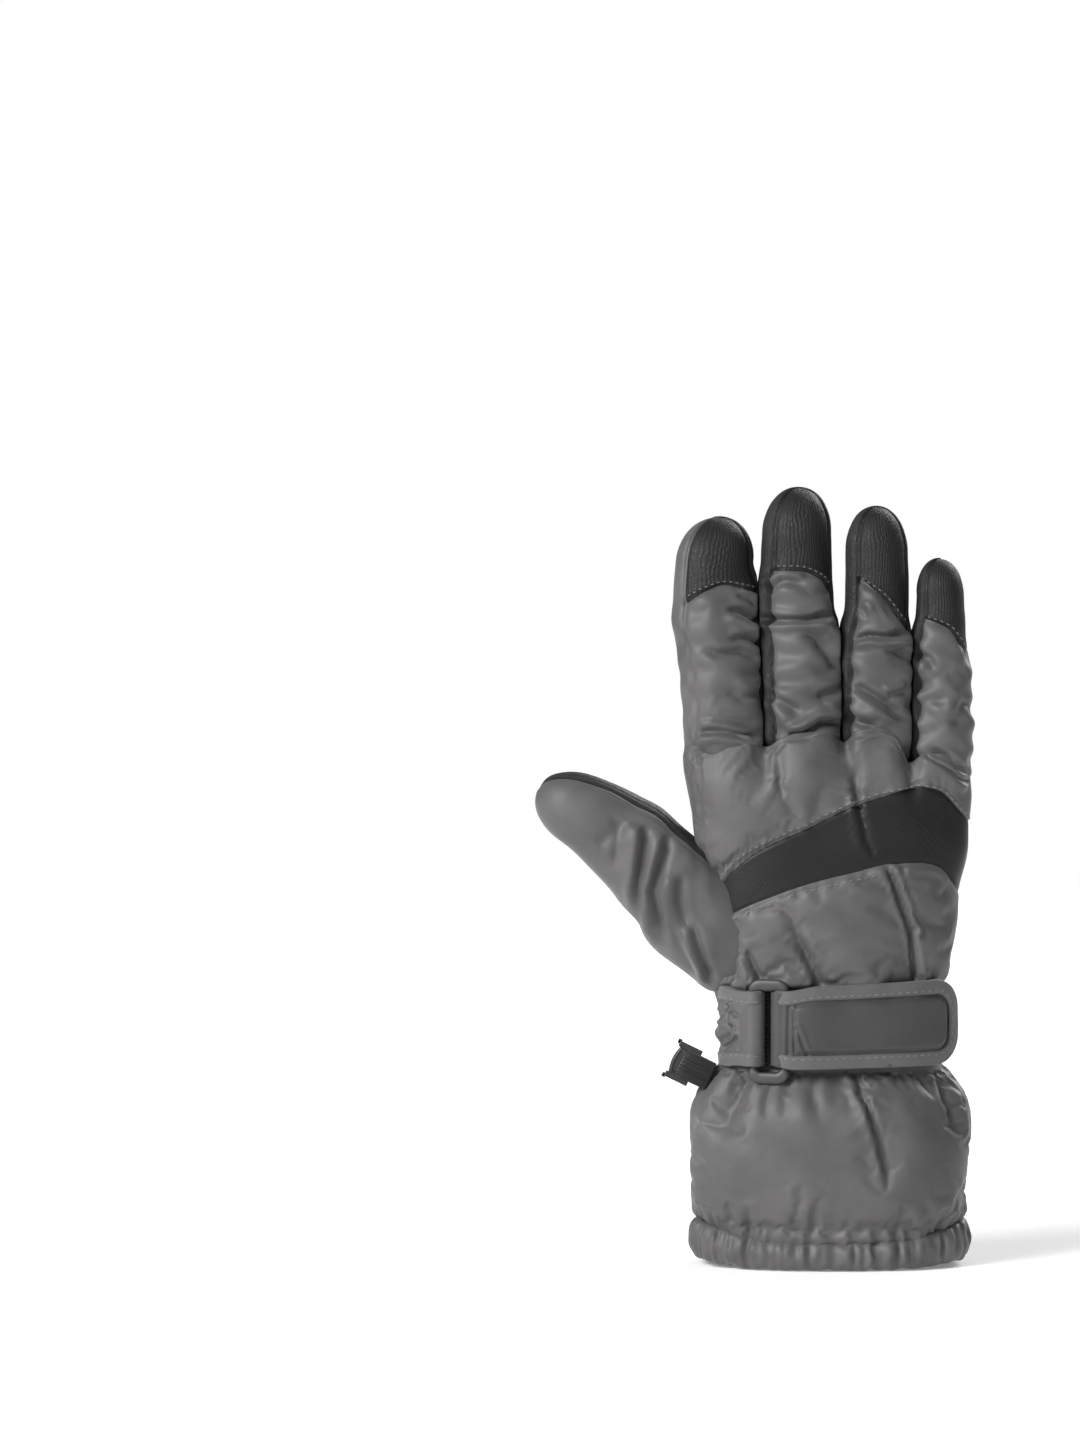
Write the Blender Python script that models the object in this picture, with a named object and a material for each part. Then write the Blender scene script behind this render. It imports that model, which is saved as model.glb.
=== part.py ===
import math

import bmesh
import bpy
from mathutils import Matrix, Vector

# ---------------------------------------------------------------------------
# Ski glove, right hand, standing on its cuff hem.
# +Z fingers, -Y back of the hand, +Y palm, -X thumb side.  Millimetres inside,
# metres in the scene.
# ---------------------------------------------------------------------------
MM = 0.001
SHIFT_X = 26.915         # puts the centre of the overall box on X = 0
SHIFT_Y = 0.0            # puts the centre of the overall box on Y = 0

SHELL = 2.6              # shell fabric with its padding
LINING_OFF = -4.3        # outside of the lining, measured inwards from the shell
LINING = 1.1
GAP = 0.32               # clearance between neighbouring panels
SLEEVE = 2.2             # thickness of the gathered sleeves

HEM_TOP = 14.3
CUFF_TOP = 57.6
WRIST_AXIS_Z = 65.0
HAND_BOTTOM = 72.0
PALM_ELASTIC_Z = 82.0
HAND_TOP = 185.6
LITTLE_TOP = 178.5

# Height: left edge, right edge, half depth, roundness of the section
BODY = [
    (0.0, -49.0, 49.0, 29.0, 2.25),
    (5.0, -50.2, 50.2, 30.3, 2.25),
    (11.0, -50.4, 50.4, 30.6, 2.25),
    (15.0, -48.8, 48.8, 29.3, 2.25),
    (20.0, -50.0, 50.0, 30.4, 2.25),
    (40.0, -51.0, 50.8, 30.8, 2.3),
    (52.0, -50.0, 50.0, 29.0, 2.3),
    (60.0, -46.4, 47.6, 25.6, 2.35),
    (66.0, -42.4, 43.0, 22.8, 2.4),
    (72.0, -39.4, 39.6, 20.6, 2.45),
    (88.0, -38.6, 39.0, 19.6, 2.45),
    (100.0, -39.6, 39.8, 19.6, 2.45),
    (117.0, -42.4, 43.5, 20.0, 2.5),
    (132.0, -43.6, 46.0, 20.0, 2.55),
    (151.0, -47.4, 49.3, 19.4, 2.6),
    (170.0, -50.2, 50.2, 17.8, 2.65),
    (180.0, -51.6, 50.4, 16.0, 2.7),
    (188.0, -52.2, 50.4, 14.8, 2.7),
]

# Contrast band over the back of the hand: across, lower edge, upper edge
BAND = [
    (-50.0, 119.0, 126.0),
    (-43.0, 121.3, 132.0),
    (-26.0, 130.6, 148.8),
    (-8.3, 137.1, 156.9),
    (8.0, 141.2, 164.7),
    (20.0, 144.0, 168.4),
    (31.0, 144.2, 171.2),
    (38.0, 143.0, 170.0),
    (50.0, 129.0, 159.0),
]

# Fingers: height, centre across, half width, half depth, centre in depth
FINGERS = {
    "index": {
        "rows": [(184.0, -38.2, 13.5, 14.0, 0.0), (194.0, -38.2, 13.5, 13.7, 0.0),
                 (210.0, -39.3, 13.7, 13.2, 0.3), (226.0, -40.7, 14.2, 13.0, 1.0),
                 (240.0, -41.7, 14.8, 12.8, 2.0), (252.0, -41.5, 14.4, 12.2, 3.2)],
        "tip": (-40.2, 268.5, 5.0), "knuckle": 194.0, "mid": 226.0, "cap": 242.0,
        "back": (0.30, math.pi + 0.45),
    },
    "middle": {
        "rows": [(184.0, -10.0, 13.2, 14.3, 0.0), (194.0, -10.0, 13.2, 14.0, 0.0),
                 (212.0, -10.4, 13.1, 13.6, 0.4), (232.0, -11.2, 13.1, 13.2, 1.2),
                 (250.0, -12.0, 12.8, 12.8, 2.6), (262.0, -11.8, 12.5, 12.2, 3.8)],
        "tip": (-11.1, 279.0, 5.6), "knuckle": 194.0, "mid": 232.0, "cap": 247.0,
        "back": (0.25, math.pi - 0.55),
    },
    "ring": {
        "rows": [(184.0, 16.0, 11.8, 13.6, 0.0), (194.0, 16.0, 11.7, 13.3, 0.0),
                 (210.0, 16.2, 11.7, 12.8, 0.3), (226.0, 16.6, 11.6, 12.4, 1.0),
                 (244.0, 17.0, 11.5, 12.0, 2.4), (256.0, 17.0, 11.2, 11.4, 3.6)],
        "tip": (16.8, 272.2, 5.2), "knuckle": 194.0, "mid": 226.0, "cap": 240.0,
        "back": (0.25, math.pi - 0.55),
    },
    "little": {
        "rows": [(177.0, 39.9, 10.3, 12.4, 0.0), (187.0, 39.9, 10.2, 12.0, 0.0),
                 (200.0, 39.8, 9.9, 11.4, 0.3), (215.0, 39.9, 9.6, 11.0, 1.0),
                 (230.0, 40.0, 9.1, 10.6, 2.2), (240.0, 40.0, 8.8, 10.0, 3.2)],
        "tip": (39.8, 253.5, 4.6), "knuckle": 187.0, "mid": 215.0, "cap": 227.0,
        "back": (-0.60, math.pi - 0.55),
    },
}
JOINT_HALF = 8.0         # half the height of each gathered joint sleeve

# Thumb: along, centre across, centre height, half width, half depth, width direction in degrees
THUMB = [
    (-16.0, -30.0, 117.0, 23.0, 14.0, 96.0),
    (0.0, -46.0, 126.0, 26.5, 16.5, 93.0),
    (17.0, -59.0, 137.0, 25.0, 16.0, 88.0),
    (31.5, -69.6, 147.0, 20.6, 15.0, 84.0),
    (45.7, -80.3, 156.4, 15.4, 13.8, 78.0),
    (56.0, -89.0, 162.6, 12.9, 12.9, 70.0),
]
THUMB_TIP = (-104.6, 169.6, 2.5)
THUMB_BASE_END = 21.0    # end of the base gather, along the thumb
THUMB_MID = (28.5, 41.0) # mid gather, along the thumb
THUMB_OPEN_Z = (100.0, 152.0)

# Wrist hardware
STRAP_PLAN = [(-15.0, -26.8), (-8.0, -27.0), (2.0, -25.8), (10.0, -24.7), (18.0, -23.5), (28.0, -20.8),
              (36.0, -16.6), (41.4, -12.4), (44.6, -9.0)]
STRAP_Z = (71.2, 102.4)
STRAP_T = 2.6
RING_C = (-22.9, -21.9)
RING_TILT = -17.0        # degrees about Z
RING_HALF = 5.6          # ring centre to bar centre
RING_Z = (66.9, 102.2)
BAR_W = 2.2
BAR_T = 1.9
CLIP_O = (-51.6, -7.0, 71.6)
CLIP_ANGLE = 26.0        # degrees the clip points above the horizontal
CLIP_W = 13.0

COLOURS = {
    "satin": (0.17, 0.16, 0.17, 1.0),
    "leather": (0.03, 0.03, 0.032, 1.0),
    "band": (0.045, 0.045, 0.05, 1.0),
    "strap": (0.14, 0.14, 0.145, 1.0),
    "webbing": (0.016, 0.016, 0.018, 1.0),
    "plastic": (0.05, 0.05, 0.052, 1.0),
    "lining": (0.02, 0.02, 0.022, 1.0),
    "elastic": (0.03, 0.03, 0.03, 1.0),
}


# ---------------------------------------------------------------------------
# Interpolation
# ---------------------------------------------------------------------------
def interp(rows, x):
    """Smooth monotone interpolation of every column of rows against the first."""
    n = len(rows)
    if x <= rows[0][0]:
        return list(rows[0][1:])
    if x >= rows[-1][0]:
        return list(rows[-1][1:])
    k = 0
    while x > rows[k + 1][0]:
        k += 1
    x0, x1 = rows[k][0], rows[k + 1][0]
    h = x1 - x0
    t = (x - x0) / h
    out = []
    for c in range(1, len(rows[0])):
        y0, y1 = rows[k][c], rows[k + 1][c]
        d = (y1 - y0) / h
        dl = (y0 - rows[k - 1][c]) / (x0 - rows[k - 1][0]) if k > 0 else d
        dr = (rows[k + 2][c] - y1) / (rows[k + 2][0] - x1) if k + 2 < n else d
        m0 = 0.0 if dl * d <= 0 else 2 * dl * d / (dl + d)
        m1 = 0.0 if dr * d <= 0 else 2 * dr * d / (dr + d)
        if k == 0:
            m0 = d
        if k + 2 >= n:
            m1 = d
        t2, t3 = t * t, t * t * t
        out.append((2 * t3 - 3 * t2 + 1) * y0 + (t3 - 2 * t2 + t) * h * m0
                   + (-2 * t3 + 3 * t2) * y1 + (t3 - t2) * h * m1)
    return out


def sp(c, n):
    return math.copysign(abs(c) ** (2.0 / n), c)


# ---------------------------------------------------------------------------
# Surfaces
# ---------------------------------------------------------------------------
def body(u, z, off=0.0):
    """Point on the cuff and hand surface. u = 0 little side, pi/2 back, pi thumb side."""
    left, right, b, n = interp(BODY, z)
    cx, a = (left + right) / 2, (right - left) / 2
    return Vector((cx + (a + off) * sp(math.cos(u), n), -(b + off) * sp(math.sin(u), n), z))


def body_u(x, z):
    """Angle on the back half at which the surface reaches x."""
    left, right, b, n = interp(BODY, z)
    cx, a = (left + right) / 2, (right - left) / 2
    c = max(-1.0, min(1.0, (x - cx) / a))
    return math.acos(math.copysign(abs(c) ** (n / 2.0), c))


def inside_body(p, margin):
    left, right, b, n = interp(BODY, p.z)
    cx, a = (left + right) / 2, (right - left) / 2
    return (abs((p.x - cx) / (a + margin)) ** n + abs(p.y / (b + margin)) ** n) < 1.0


def finger(f, u, z, off=0.0):
    cx, hw, hd, cy = interp(f["rows"], z)
    return Vector((cx + (hw + off) * sp(math.cos(u), 2.25), cy - (hd + off) * sp(math.sin(u), 2.25), z))


def finger_dome(f, u, phi, off=0.0):
    """Tip of the finger. phi = 0 where the dome starts, pi/2 at the top."""
    z0, cx, hw, hd, cy = f["rows"][-1]
    tx, tz, ty = f["tip"]
    s = math.sin(phi)
    k = max(0.0, math.cos(phi)) ** 0.92
    c = Vector((cx + (tx - cx) * s, cy + (ty - cy) * s, z0 + (tz + off - z0) * s))
    return c + Vector(((hw + off) * k * sp(math.cos(u), 2.25), -(hd + off) * k * sp(math.sin(u), 2.25), 0))


def thumb(u, t, off=0.0):
    cx, cz, hw, hd, ang = interp(THUMB, t)
    a = math.radians(ang)
    e = Vector((math.cos(a), 0, math.sin(a)))
    return Vector((cx, 0, cz)) + e * ((hw + off) * sp(math.cos(u), 2.2)) \
        + Vector((0, -(hd + off) * sp(math.sin(u), 2.2), 0))


def thumb_dome(u, phi, off=0.0):
    t0, cx, cz, hw, hd, ang = THUMB[-1]
    a = math.radians(ang)
    e = Vector((math.cos(a), 0, math.sin(a)))
    base = Vector((cx, 0, cz))
    d = Vector((THUMB_TIP[0] - cx, THUMB_TIP[2], THUMB_TIP[1] - cz))
    length = d.length
    d.normalize()
    s = math.sin(phi)
    k = max(0.0, math.cos(phi)) ** 0.92
    return base + d * ((length + off) * s) + e * ((hw + off) * k * sp(math.cos(u), 2.2)) \
        + Vector((0, -(hd + off) * k * sp(math.sin(u), 2.2), 0))


# ---------------------------------------------------------------------------
# Mesh builders
# ---------------------------------------------------------------------------
for _o in list(bpy.data.objects):
    bpy.data.objects.remove(_o, do_unlink=True)

MATS = {}
for _n, _c in COLOURS.items():
    _m = bpy.data.materials.new(_n)
    _m.diffuse_color = _c
    MATS[_n] = _m


def make(name, verts, faces, mat):
    me = bpy.data.meshes.new(name)
    me.from_pydata([((v[0] + SHIFT_X) * MM, (v[1] + SHIFT_Y) * MM, v[2] * MM) for v in verts], [], faces)
    bm = bmesh.new()
    bm.from_mesh(me)
    bmesh.ops.triangulate(bm, faces=bm.faces[:], quad_method="FIXED")
    bmesh.ops.recalc_face_normals(bm, faces=bm.faces[:])
    bm.to_mesh(me)
    bm.free()
    ob = bpy.data.objects.new(name, me)
    bpy.context.scene.collection.objects.link(ob)
    me.materials.append(MATS[mat])
    return ob


def shell(name, fn, ns, nt, mat, wrap=False, pole=False):
    """Closed sheet with thickness. fn(s, t, side) gives the outside (0) and inside (1)."""
    verts, faces = [], []
    cols = ns if wrap else ns + 1
    idx = [[[0] * (nt + 1) for _ in range(cols)] for _ in range(2)]
    for side in (0, 1):
        for j in range(nt + 1):
            if pole and j == nt:
                verts.append(fn(0.5, 1.0, side))
                for i in range(cols):
                    idx[side][i][j] = len(verts) - 1
                continue
            for i in range(cols):
                verts.append(fn(i / ns, j / nt, side))
                idx[side][i][j] = len(verts) - 1
    for i in range(ns):
        a, b = i, (i + 1) % cols if wrap else i + 1
        for j in range(nt):
            for side in (0, 1):
                q = [idx[side][a][j], idx[side][b][j], idx[side][b][j + 1], idx[side][a][j + 1]]
                if pole and j == nt - 1:
                    q = q[:3]
                faces.append(q if side == 0 else q[::-1])
        faces.append([idx[0][a][0], idx[1][a][0], idx[1][b][0], idx[0][b][0]])
        if not pole:
            faces.append([idx[0][a][nt], idx[0][b][nt], idx[1][b][nt], idx[1][a][nt]])
    if not wrap:
        for j in range(nt):
            faces.append([idx[0][0][j], idx[0][0][j + 1], idx[1][0][j + 1], idx[1][0][j]])
            e = cols - 1
            faces.append([idx[0][e][j], idx[1][e][j], idx[1][e][j + 1], idx[0][e][j + 1]])
    return make(name, verts, faces, mat)


def ring_sweep(name, profile, nu, mat, fn):
    """Closed ring: profile points (off, z) carried round the section by fn(u, z, off)."""
    verts, faces = [], []
    m = len(profile)
    for i in range(nu):
        u = 2 * math.pi * i / nu
        for off, z in profile:
            verts.append(fn(u, z, off))
    for i in range(nu):
        for j in range(m):
            a, b = i * m + j, ((i + 1) % nu) * m + j
            c, d = ((i + 1) % nu) * m + (j + 1) % m, i * m + (j + 1) % m
            faces.append([a, b, c, d])
    return make(name, verts, faces, mat)


def plan_offsets(pts, half):
    """Left and right offsets of a plan polyline."""
    left, right = [], []
    for i, p in enumerate(pts):
        a = Vector(pts[max(0, i - 1)])
        b = Vector(pts[min(len(pts) - 1, i + 1)])
        t = (b - a).normalized()
        n = Vector((-t.y, t.x))
        q = Vector(p)
        left.append(q + n * half)
        right.append(q - n * half)
    return left, right


def strip(name, pts, half, zfn, mat, nz=1):
    """Upright strip that follows a plan polyline. zfn(i) gives its two heights."""
    left, right = plan_offsets(pts, half)
    n = len(pts)

    def fn(s, t, side):
        i = min(n - 1, int(round(s * (n - 1))))
        z0, z1 = zfn(i)
        p = (right if side == 0 else left)[i]
        return Vector((p.x, p.y, z0 + (z1 - z0) * t))
    return shell(name, fn, n - 1, nz, mat)


def box_mesh(center, half, axes):
    verts, faces = [], [(0, 1, 3, 2), (4, 6, 7, 5), (0, 4, 5, 1), (2, 3, 7, 6), (0, 2, 6, 4), (1, 5, 7, 3)]
    for i in (-1, 1):
        for j in (-1, 1):
            for k in (-1, 1):
                verts.append(center + axes[0] * (half[0] * i) + axes[1] * (half[1] * j) + axes[2] * (half[2] * k))
    return verts, faces


def union(name, pieces, mat):
    """One body from several overlapping convex pieces."""
    obs = []
    for k, (v, f) in enumerate(pieces):
        obs.append(make(name if k == 0 else name + "_tool%d" % k, v, f, mat))
    base = obs[0]
    for o in obs[1:]:
        o.hide_render = True
        o.display_type = "WIRE"
        mod = base.modifiers.new("join", "BOOLEAN")
        mod.operation = "UNION"
        mod.solver = "EXACT"
        mod.object = o
    return base


# ---------------------------------------------------------------------------
# Cuff
# ---------------------------------------------------------------------------
def lerp(a, b, t):
    return a + (b - a) * t


def pleat(u, amp, count):
    return amp * 0.5 * (1 + math.cos(u * count))


ring_sweep("cuff_hem_roll",
           [(-6.0, 0.0), (-1.2, 0.0), (0.0, 2.6), (0.6, 7.5), (0.0, 12.0), (-1.1, HEM_TOP),
            (-1.6, 11.6), (-1.2, 7.5), (-1.6, 3.0), (-2.4, 1.5), (-4.4, 1.5), (-4.8, 3.0),
            (-4.8, HEM_TOP - 0.6), (-6.0, HEM_TOP - 0.6)],
           36, "satin", lambda u, z, off: body(u, 11.0, off) * 1.0 + Vector((0, 0, z - 11.0)))
ring_sweep("hem_elastic",
           [(-3.1 + 1.1 * math.cos(a), 6.0 + 1.1 * math.sin(a)) for a in
            [2 * math.pi * k / 6 for k in range(6)]],
           30, "elastic", lambda u, z, off: body(u, 11.0, off) + Vector((0, 0, z - 11.0)))

shell("cuff_shell_back",
      lambda s, t, side: body(lerp(0.012, math.pi - 0.012, s), lerp(HEM_TOP + GAP, CUFF_TOP, t),
                              (0.0, -SHELL)[side]), 16, 5, "satin")
shell("cuff_shell_palm",
      lambda s, t, side: body(lerp(math.pi + 0.012, 2 * math.pi - 0.012, s), lerp(HEM_TOP + GAP, CUFF_TOP, t),
                              (0.0, -SHELL)[side]), 16, 5, "satin")
shell("cuff_lining",
      lambda s, t, side: body(2 * math.pi * s, lerp(HEM_TOP + GAP, CUFF_TOP - 1.0, t),
                              (LINING_OFF, LINING_OFF - LINING)[side]), 30, 3, "lining", wrap=True)
shell("wrist_gather",
      lambda s, t, side: body(2 * math.pi * s, lerp(CUFF_TOP + GAP, HAND_BOTTOM - GAP, t),
                              (pleat(2 * math.pi * s, 0.8, 24) - 0.4, -SLEEVE)[side]),
      48, 2, "satin", wrap=True)


# ---------------------------------------------------------------------------
# Hand
# ---------------------------------------------------------------------------
def thumb_cut(z):
    """How far the panels stop short of the thumb-side edge, as an angle."""
    z0, z1 = THUMB_OPEN_Z
    if z <= z0 or z >= z1:
        return 0.0
    return 0.54 * math.sin(math.pi * (z - z0) / (z1 - z0)) ** 0.7


# Two fixed columns either side of the web between ring and little finger, where the top edge steps
U_WEB = (body_u(29.3, 180.0), body_u(28.1, 180.0))
NS_BACK = 22
NS_PALM = 22


def column_u(s, u0, u1):
    a, b = 8 / NS_BACK, 9 / NS_BACK
    if s <= a:
        return lerp(u0, U_WEB[0], s / a)
    if s <= b:
        return lerp(U_WEB[0], U_WEB[1], (s - a) / (b - a))
    return lerp(U_WEB[1], u1, (s - b) / (1 - b))


def back_u(s, z):
    """Across the back: from the little-finger side seam to the thumb-side seam."""
    end = math.pi - 0.010 - thumb_cut(z)
    if z > THUMB_OPEN_Z[1]:
        end = math.pi + 0.45 * min(1.0, (z - THUMB_OPEN_Z[1]) / 24.0) - 0.020
    u = column_u(s, 0.010, math.pi - 0.010)
    turn = math.pi - 1.1
    if u > turn:
        u = turn + (u - turn) * (end - turn) / (1.1 - 0.010)
    return u


def nominal_x(s):
    """Distance across the glove of each column of the panels."""
    u = column_u(s, 0.01, math.pi)
    return max(-50.0, min(50.0, -0.5 + 49.6 * sp(math.cos(u), 2.6)))


def band_edges(s):
    lo, hi = interp(BAND, nominal_x(s))
    return lo, hi


def back_panel(name, z_of, nt, mat, ns=NS_BACK):
    def fn(s, t, side):
        z = z_of(s, t)
        return body(back_u(s, z), z, (0.0, -SHELL)[side])
    return shell(name, fn, ns, nt, mat)


back_panel("hand_back_lower_panel", lambda s, t: lerp(HAND_BOTTOM, band_edges(s)[0] - GAP / 2, t), 7, "satin")
back_panel("contrast_band_panel", lambda s, t: lerp(band_edges(s)[0] + GAP / 2, band_edges(s)[1] - GAP / 2, t),
           3, "band")


def top_line(s):
    return LITTLE_TOP if s < 8.5 / NS_BACK else HAND_TOP


back_panel("hand_back_upper_panel", lambda s, t: lerp(band_edges(s)[1] + GAP / 2, top_line(s), t), 4, "satin")


def strip_angle(z):
    """Angle by which the little-side strip reaches onto the palm side."""
    return 0.07 + 0.52 * max(0.0, min(1.0, (z - 100.0) / 80.0))


shell("side_strip_little",
      lambda s, t, side: body(lerp(-strip_angle(lerp(HAND_BOTTOM, LITTLE_TOP, t)) + 0.014, -0.010, s),
                              lerp(HAND_BOTTOM, LITTLE_TOP, t), (0.0, -SHELL)[side]), 3, 12, "satin")


def palm_fn(z_of):
    def fn(s, t, side):
        z = z_of(s, t)
        u0 = math.pi + 0.010 + thumb_cut(z)
        if z > THUMB_OPEN_Z[1]:
            u0 = math.pi + 0.45 * min(1.0, (z - THUMB_OPEN_Z[1]) / 24.0) + 0.022
        u1 = 2 * math.pi - strip_angle(z) - 0.022
        return body(2 * math.pi - column_u(1 - s, 2 * math.pi - u1, 2 * math.pi - u0), z, (0.0, -SHELL)[side])
    return fn


def palm_top(s):
    return LITTLE_TOP if s > 1 - 8.5 / NS_BACK else HAND_TOP


shell("palm_leather_panel", palm_fn(lambda s, t: lerp(PALM_ELASTIC_Z + GAP, palm_top(s), t)), NS_PALM, 11, "leather")
shell("palm_wrist_panel", palm_fn(lambda s, t: lerp(HAND_BOTTOM, PALM_ELASTIC_Z, t)), NS_PALM, 1, "satin")
shell("wrist_elastic",
      lambda s, t, side: body(lerp(math.pi + 0.1, 2 * math.pi - 0.1, s), lerp(79.0, 86.0, t),
                              (-SHELL - 0.35, -SHELL - 1.25)[side]), 14, 1, "elastic")
shell("hand_lining",
      lambda s, t, side: body(lerp(-(math.pi - 0.80), math.pi - 0.80, s),
                              lerp(HAND_BOTTOM + 1.0, 174.0, t),
                              (LINING_OFF, LINING_OFF - LINING)[side]), 26, 6, "lining")


def web(name, fa, fb, z0, z1):
    """Saddle between two neighbouring fingers, just under the finger sleeves."""
    a, b = FINGERS[fa], FINGERS[fb]
    ra, rb = interp(a["rows"], HAND_TOP - 1), interp(b["rows"], HAND_TOP - 1)
    ys = [-10.2, -7.5, -4.0, 0.0, 4.0, 7.5, 10.2]
    pa, pb = [], []
    for y in ys:
        ka = max(0.0, 1 - abs(y / ra[2]) ** 2.25) ** (1 / 2.25)
        kb = max(0.0, 1 - abs(y / rb[2]) ** 2.25) ** (1 / 2.25)
        pa.append(ra[0] + (ra[1] - SLEEVE) * ka + 0.1)
        pb.append(rb[0] - (rb[1] - SLEEVE) * kb - 0.1)

    def fn(s, t, side):
        i = int(round(s * (len(ys) - 1)))
        return Vector((lerp(pa[i], pb[i], t), ys[i], (z1, z0)[side]))
    return shell(name, fn, len(ys) - 1, 1, "leather")


web("web_index_middle", "index", "middle", 182.8, 185.5)
web("web_middle_ring", "middle", "ring", 182.8, 185.5)
web("web_ring_little", "ring", "little", 175.4, 178.2)


# ---------------------------------------------------------------------------
# Fingers
# ---------------------------------------------------------------------------
def lift(v, dy):
    return Vector((v.x, v.y + dy, v.z))


def build_finger(key, f):
    k, m = f["knuckle"], f["mid"]
    u0, u1 = f["back"]
    du = 0.016
    start = k - JOINT_HALF

    def sleeve(name, za, zb):
        shell(name, lambda s, t, side: finger(f, 2 * math.pi * s, lerp(za, zb, t),
                                              ((0.35 if 0 < t < 1 else -0.15), -SLEEVE)[side]),
              20, 2, "satin", wrap=True)

    def panel(name, ua, ub, za, zb, ns, nt, mat):
        shell(name, lambda s, t, side: finger(f, lerp(ua + du, ub - du, s), lerp(za, zb, t),
                                              (0.0, -SHELL)[side]), ns, nt, mat)

    sleeve(key + "_knuckle_gather", start, k + JOINT_HALF)
    panel(key + "_back_panel", u0, u1, k + JOINT_HALF + GAP, m - JOINT_HALF - GAP, 9, 2, "satin")
    panel(key + "_palm_panel", u1, u0 + 2 * math.pi, k + JOINT_HALF + GAP, m - JOINT_HALF - GAP, 11, 2, "leather")
    sleeve(key + "_mid_gather", m - JOINT_HALF, m + JOINT_HALF)
    zc = f["cap"]
    z0 = m + JOINT_HALF + GAP
    zd = f["rows"][-1][0]
    panel(key + "_back_distal", u0, u1, z0, zc - GAP / 2, 9, 1, "satin")

    def run(s, t, side, ua, ub, za):
        off = (0.0, -SHELL)[side]
        u = lerp(ua + du, ub - du, s)
        if t < 0.4:
            return finger(f, u, lerp(za, zd, t / 0.4), off)
        phi = (t - 0.4) / 0.6 * math.pi / 2
        return finger_dome(f, u, phi, off)

    shell(key + "_tip_cap", lambda s, t, side: lift(run(s, t, side, u0, u1, zc + GAP / 2), -0.2),
          9, 4, "satin", pole=True)
    shell(key + "_palm_distal", lambda s, t, side: lift(run(s, t, side, u1, u0 + 2 * math.pi, z0), 0.2),
          11, 4, "leather", pole=True)


for _k, _f in FINGERS.items():
    build_finger(_k, _f)


# ---------------------------------------------------------------------------
# Thumb
# ---------------------------------------------------------------------------
def thumb_start(u, off):
    """Where the thumb's skin leaves the hand's surface."""
    t = -15.8
    while t < 12.0 and inside_body(thumb(u, t, off), 0.45):
        t += 0.2
    return t


def thumb_gather(s, t, side):
    u = 2 * math.pi * s
    off = (0.0, -SLEEVE)[side]
    a = max(thumb_start(u, 0.0), thumb_start(u, -SLEEVE))
    return thumb(u, lerp(a, THUMB_BASE_END, t), off)


shell("thumb_base_gather", thumb_gather, 28, 4, "satin", wrap=True)

T_SEAM0, T_SEAM1 = 0.30, math.pi - 0.10


def thumb_panel(name, ua, ub, ta, tb, ns, nt, mat):
    shell(name, lambda s, t, side: thumb(lerp(ua + 0.014, ub - 0.014, s), lerp(ta, tb, t),
                                         (0.0, -SHELL)[side]), ns, nt, mat)


thumb_panel("thumb_back_panel", T_SEAM0, T_SEAM1, THUMB_BASE_END + GAP, THUMB_MID[0] - GAP, 9, 1, "satin")
thumb_panel("thumb_palm_panel", T_SEAM1, T_SEAM0 + 2 * math.pi, THUMB_BASE_END + GAP, THUMB_MID[0] - GAP,
            11, 1, "leather")
shell("thumb_mid_gather", lambda s, t, side: thumb(2 * math.pi * s, lerp(THUMB_MID[0], THUMB_MID[1], t),
                                                   (0.0, -SLEEVE)[side]), 24, 2, "satin", wrap=True)


def thumb_tip(ua, ub, dy):
    zd = THUMB[-1][0]

    def fn(s, t, side):
        off = (0.0, -SHELL)[side]
        u = lerp(ua + 0.014, ub - 0.014, s)
        if t < 0.4:
            v = thumb(u, lerp(THUMB_MID[1] + GAP, zd, t / 0.4), off)
        else:
            v = thumb_dome(u, (t - 0.4) / 0.6 * math.pi / 2, off)
        return lift(v, dy)
    return fn


shell("thumb_back_distal", thumb_tip(T_SEAM0, T_SEAM1, -0.2), 9, 5, "satin", pole=True)
shell("thumb_palm_distal", thumb_tip(T_SEAM1, T_SEAM0 + 2 * math.pi, 0.2), 11, 5, "leather", pole=True)


# ---------------------------------------------------------------------------
# Wrist strap, ring and tab
# ---------------------------------------------------------------------------
_a = math.radians(RING_TILT)
RE = Vector((math.cos(_a), math.sin(_a), 0))
RN = Vector((math.sin(_a), -math.cos(_a), 0))        # away from the hand
RZ = Vector((0, 0, 1))
RC = Vector((RING_C[0], RING_C[1], sum(RING_Z) / 2))
_h = (RING_Z[1] - RING_Z[0]) / 2
union("wrist_ring", [
    box_mesh(RC - RE * RING_HALF, (BAR_W / 2, BAR_T / 2, _h), (RE, RN, RZ)),
    box_mesh(RC + RE * RING_HALF, (BAR_W / 2, BAR_T / 2, _h), (RE, RN, RZ)),
    box_mesh(RC + RZ * (_h - 1.2), (RING_HALF + BAR_W / 2 - 0.2, BAR_T / 2 + 0.05, 1.25), (RE, RN, RZ)),
    box_mesh(RC - RZ * (_h - 1.2), (RING_HALF + BAR_W / 2 - 0.2, BAR_T / 2 + 0.05, 1.25), (RE, RN, RZ)),
], "plastic")

BAR_L = RC - RE * RING_HALF
BAR_R = RC + RE * RING_HALF


def round_bar(bar, r, a0, a1, n):
    """Plan arc round a bar, angles counted from the direction RE."""
    out = []
    for k in range(n + 1):
        a = math.radians(lerp(a0, a1, k / n))
        p = bar + RE * (r * math.cos(a)) + RN * (r * math.sin(a))
        out.append((p.x, p.y))
    return out


def surf(x, z, off):
    p = body(body_u(x, z), z, off)
    return (p.x, p.y)


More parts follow.
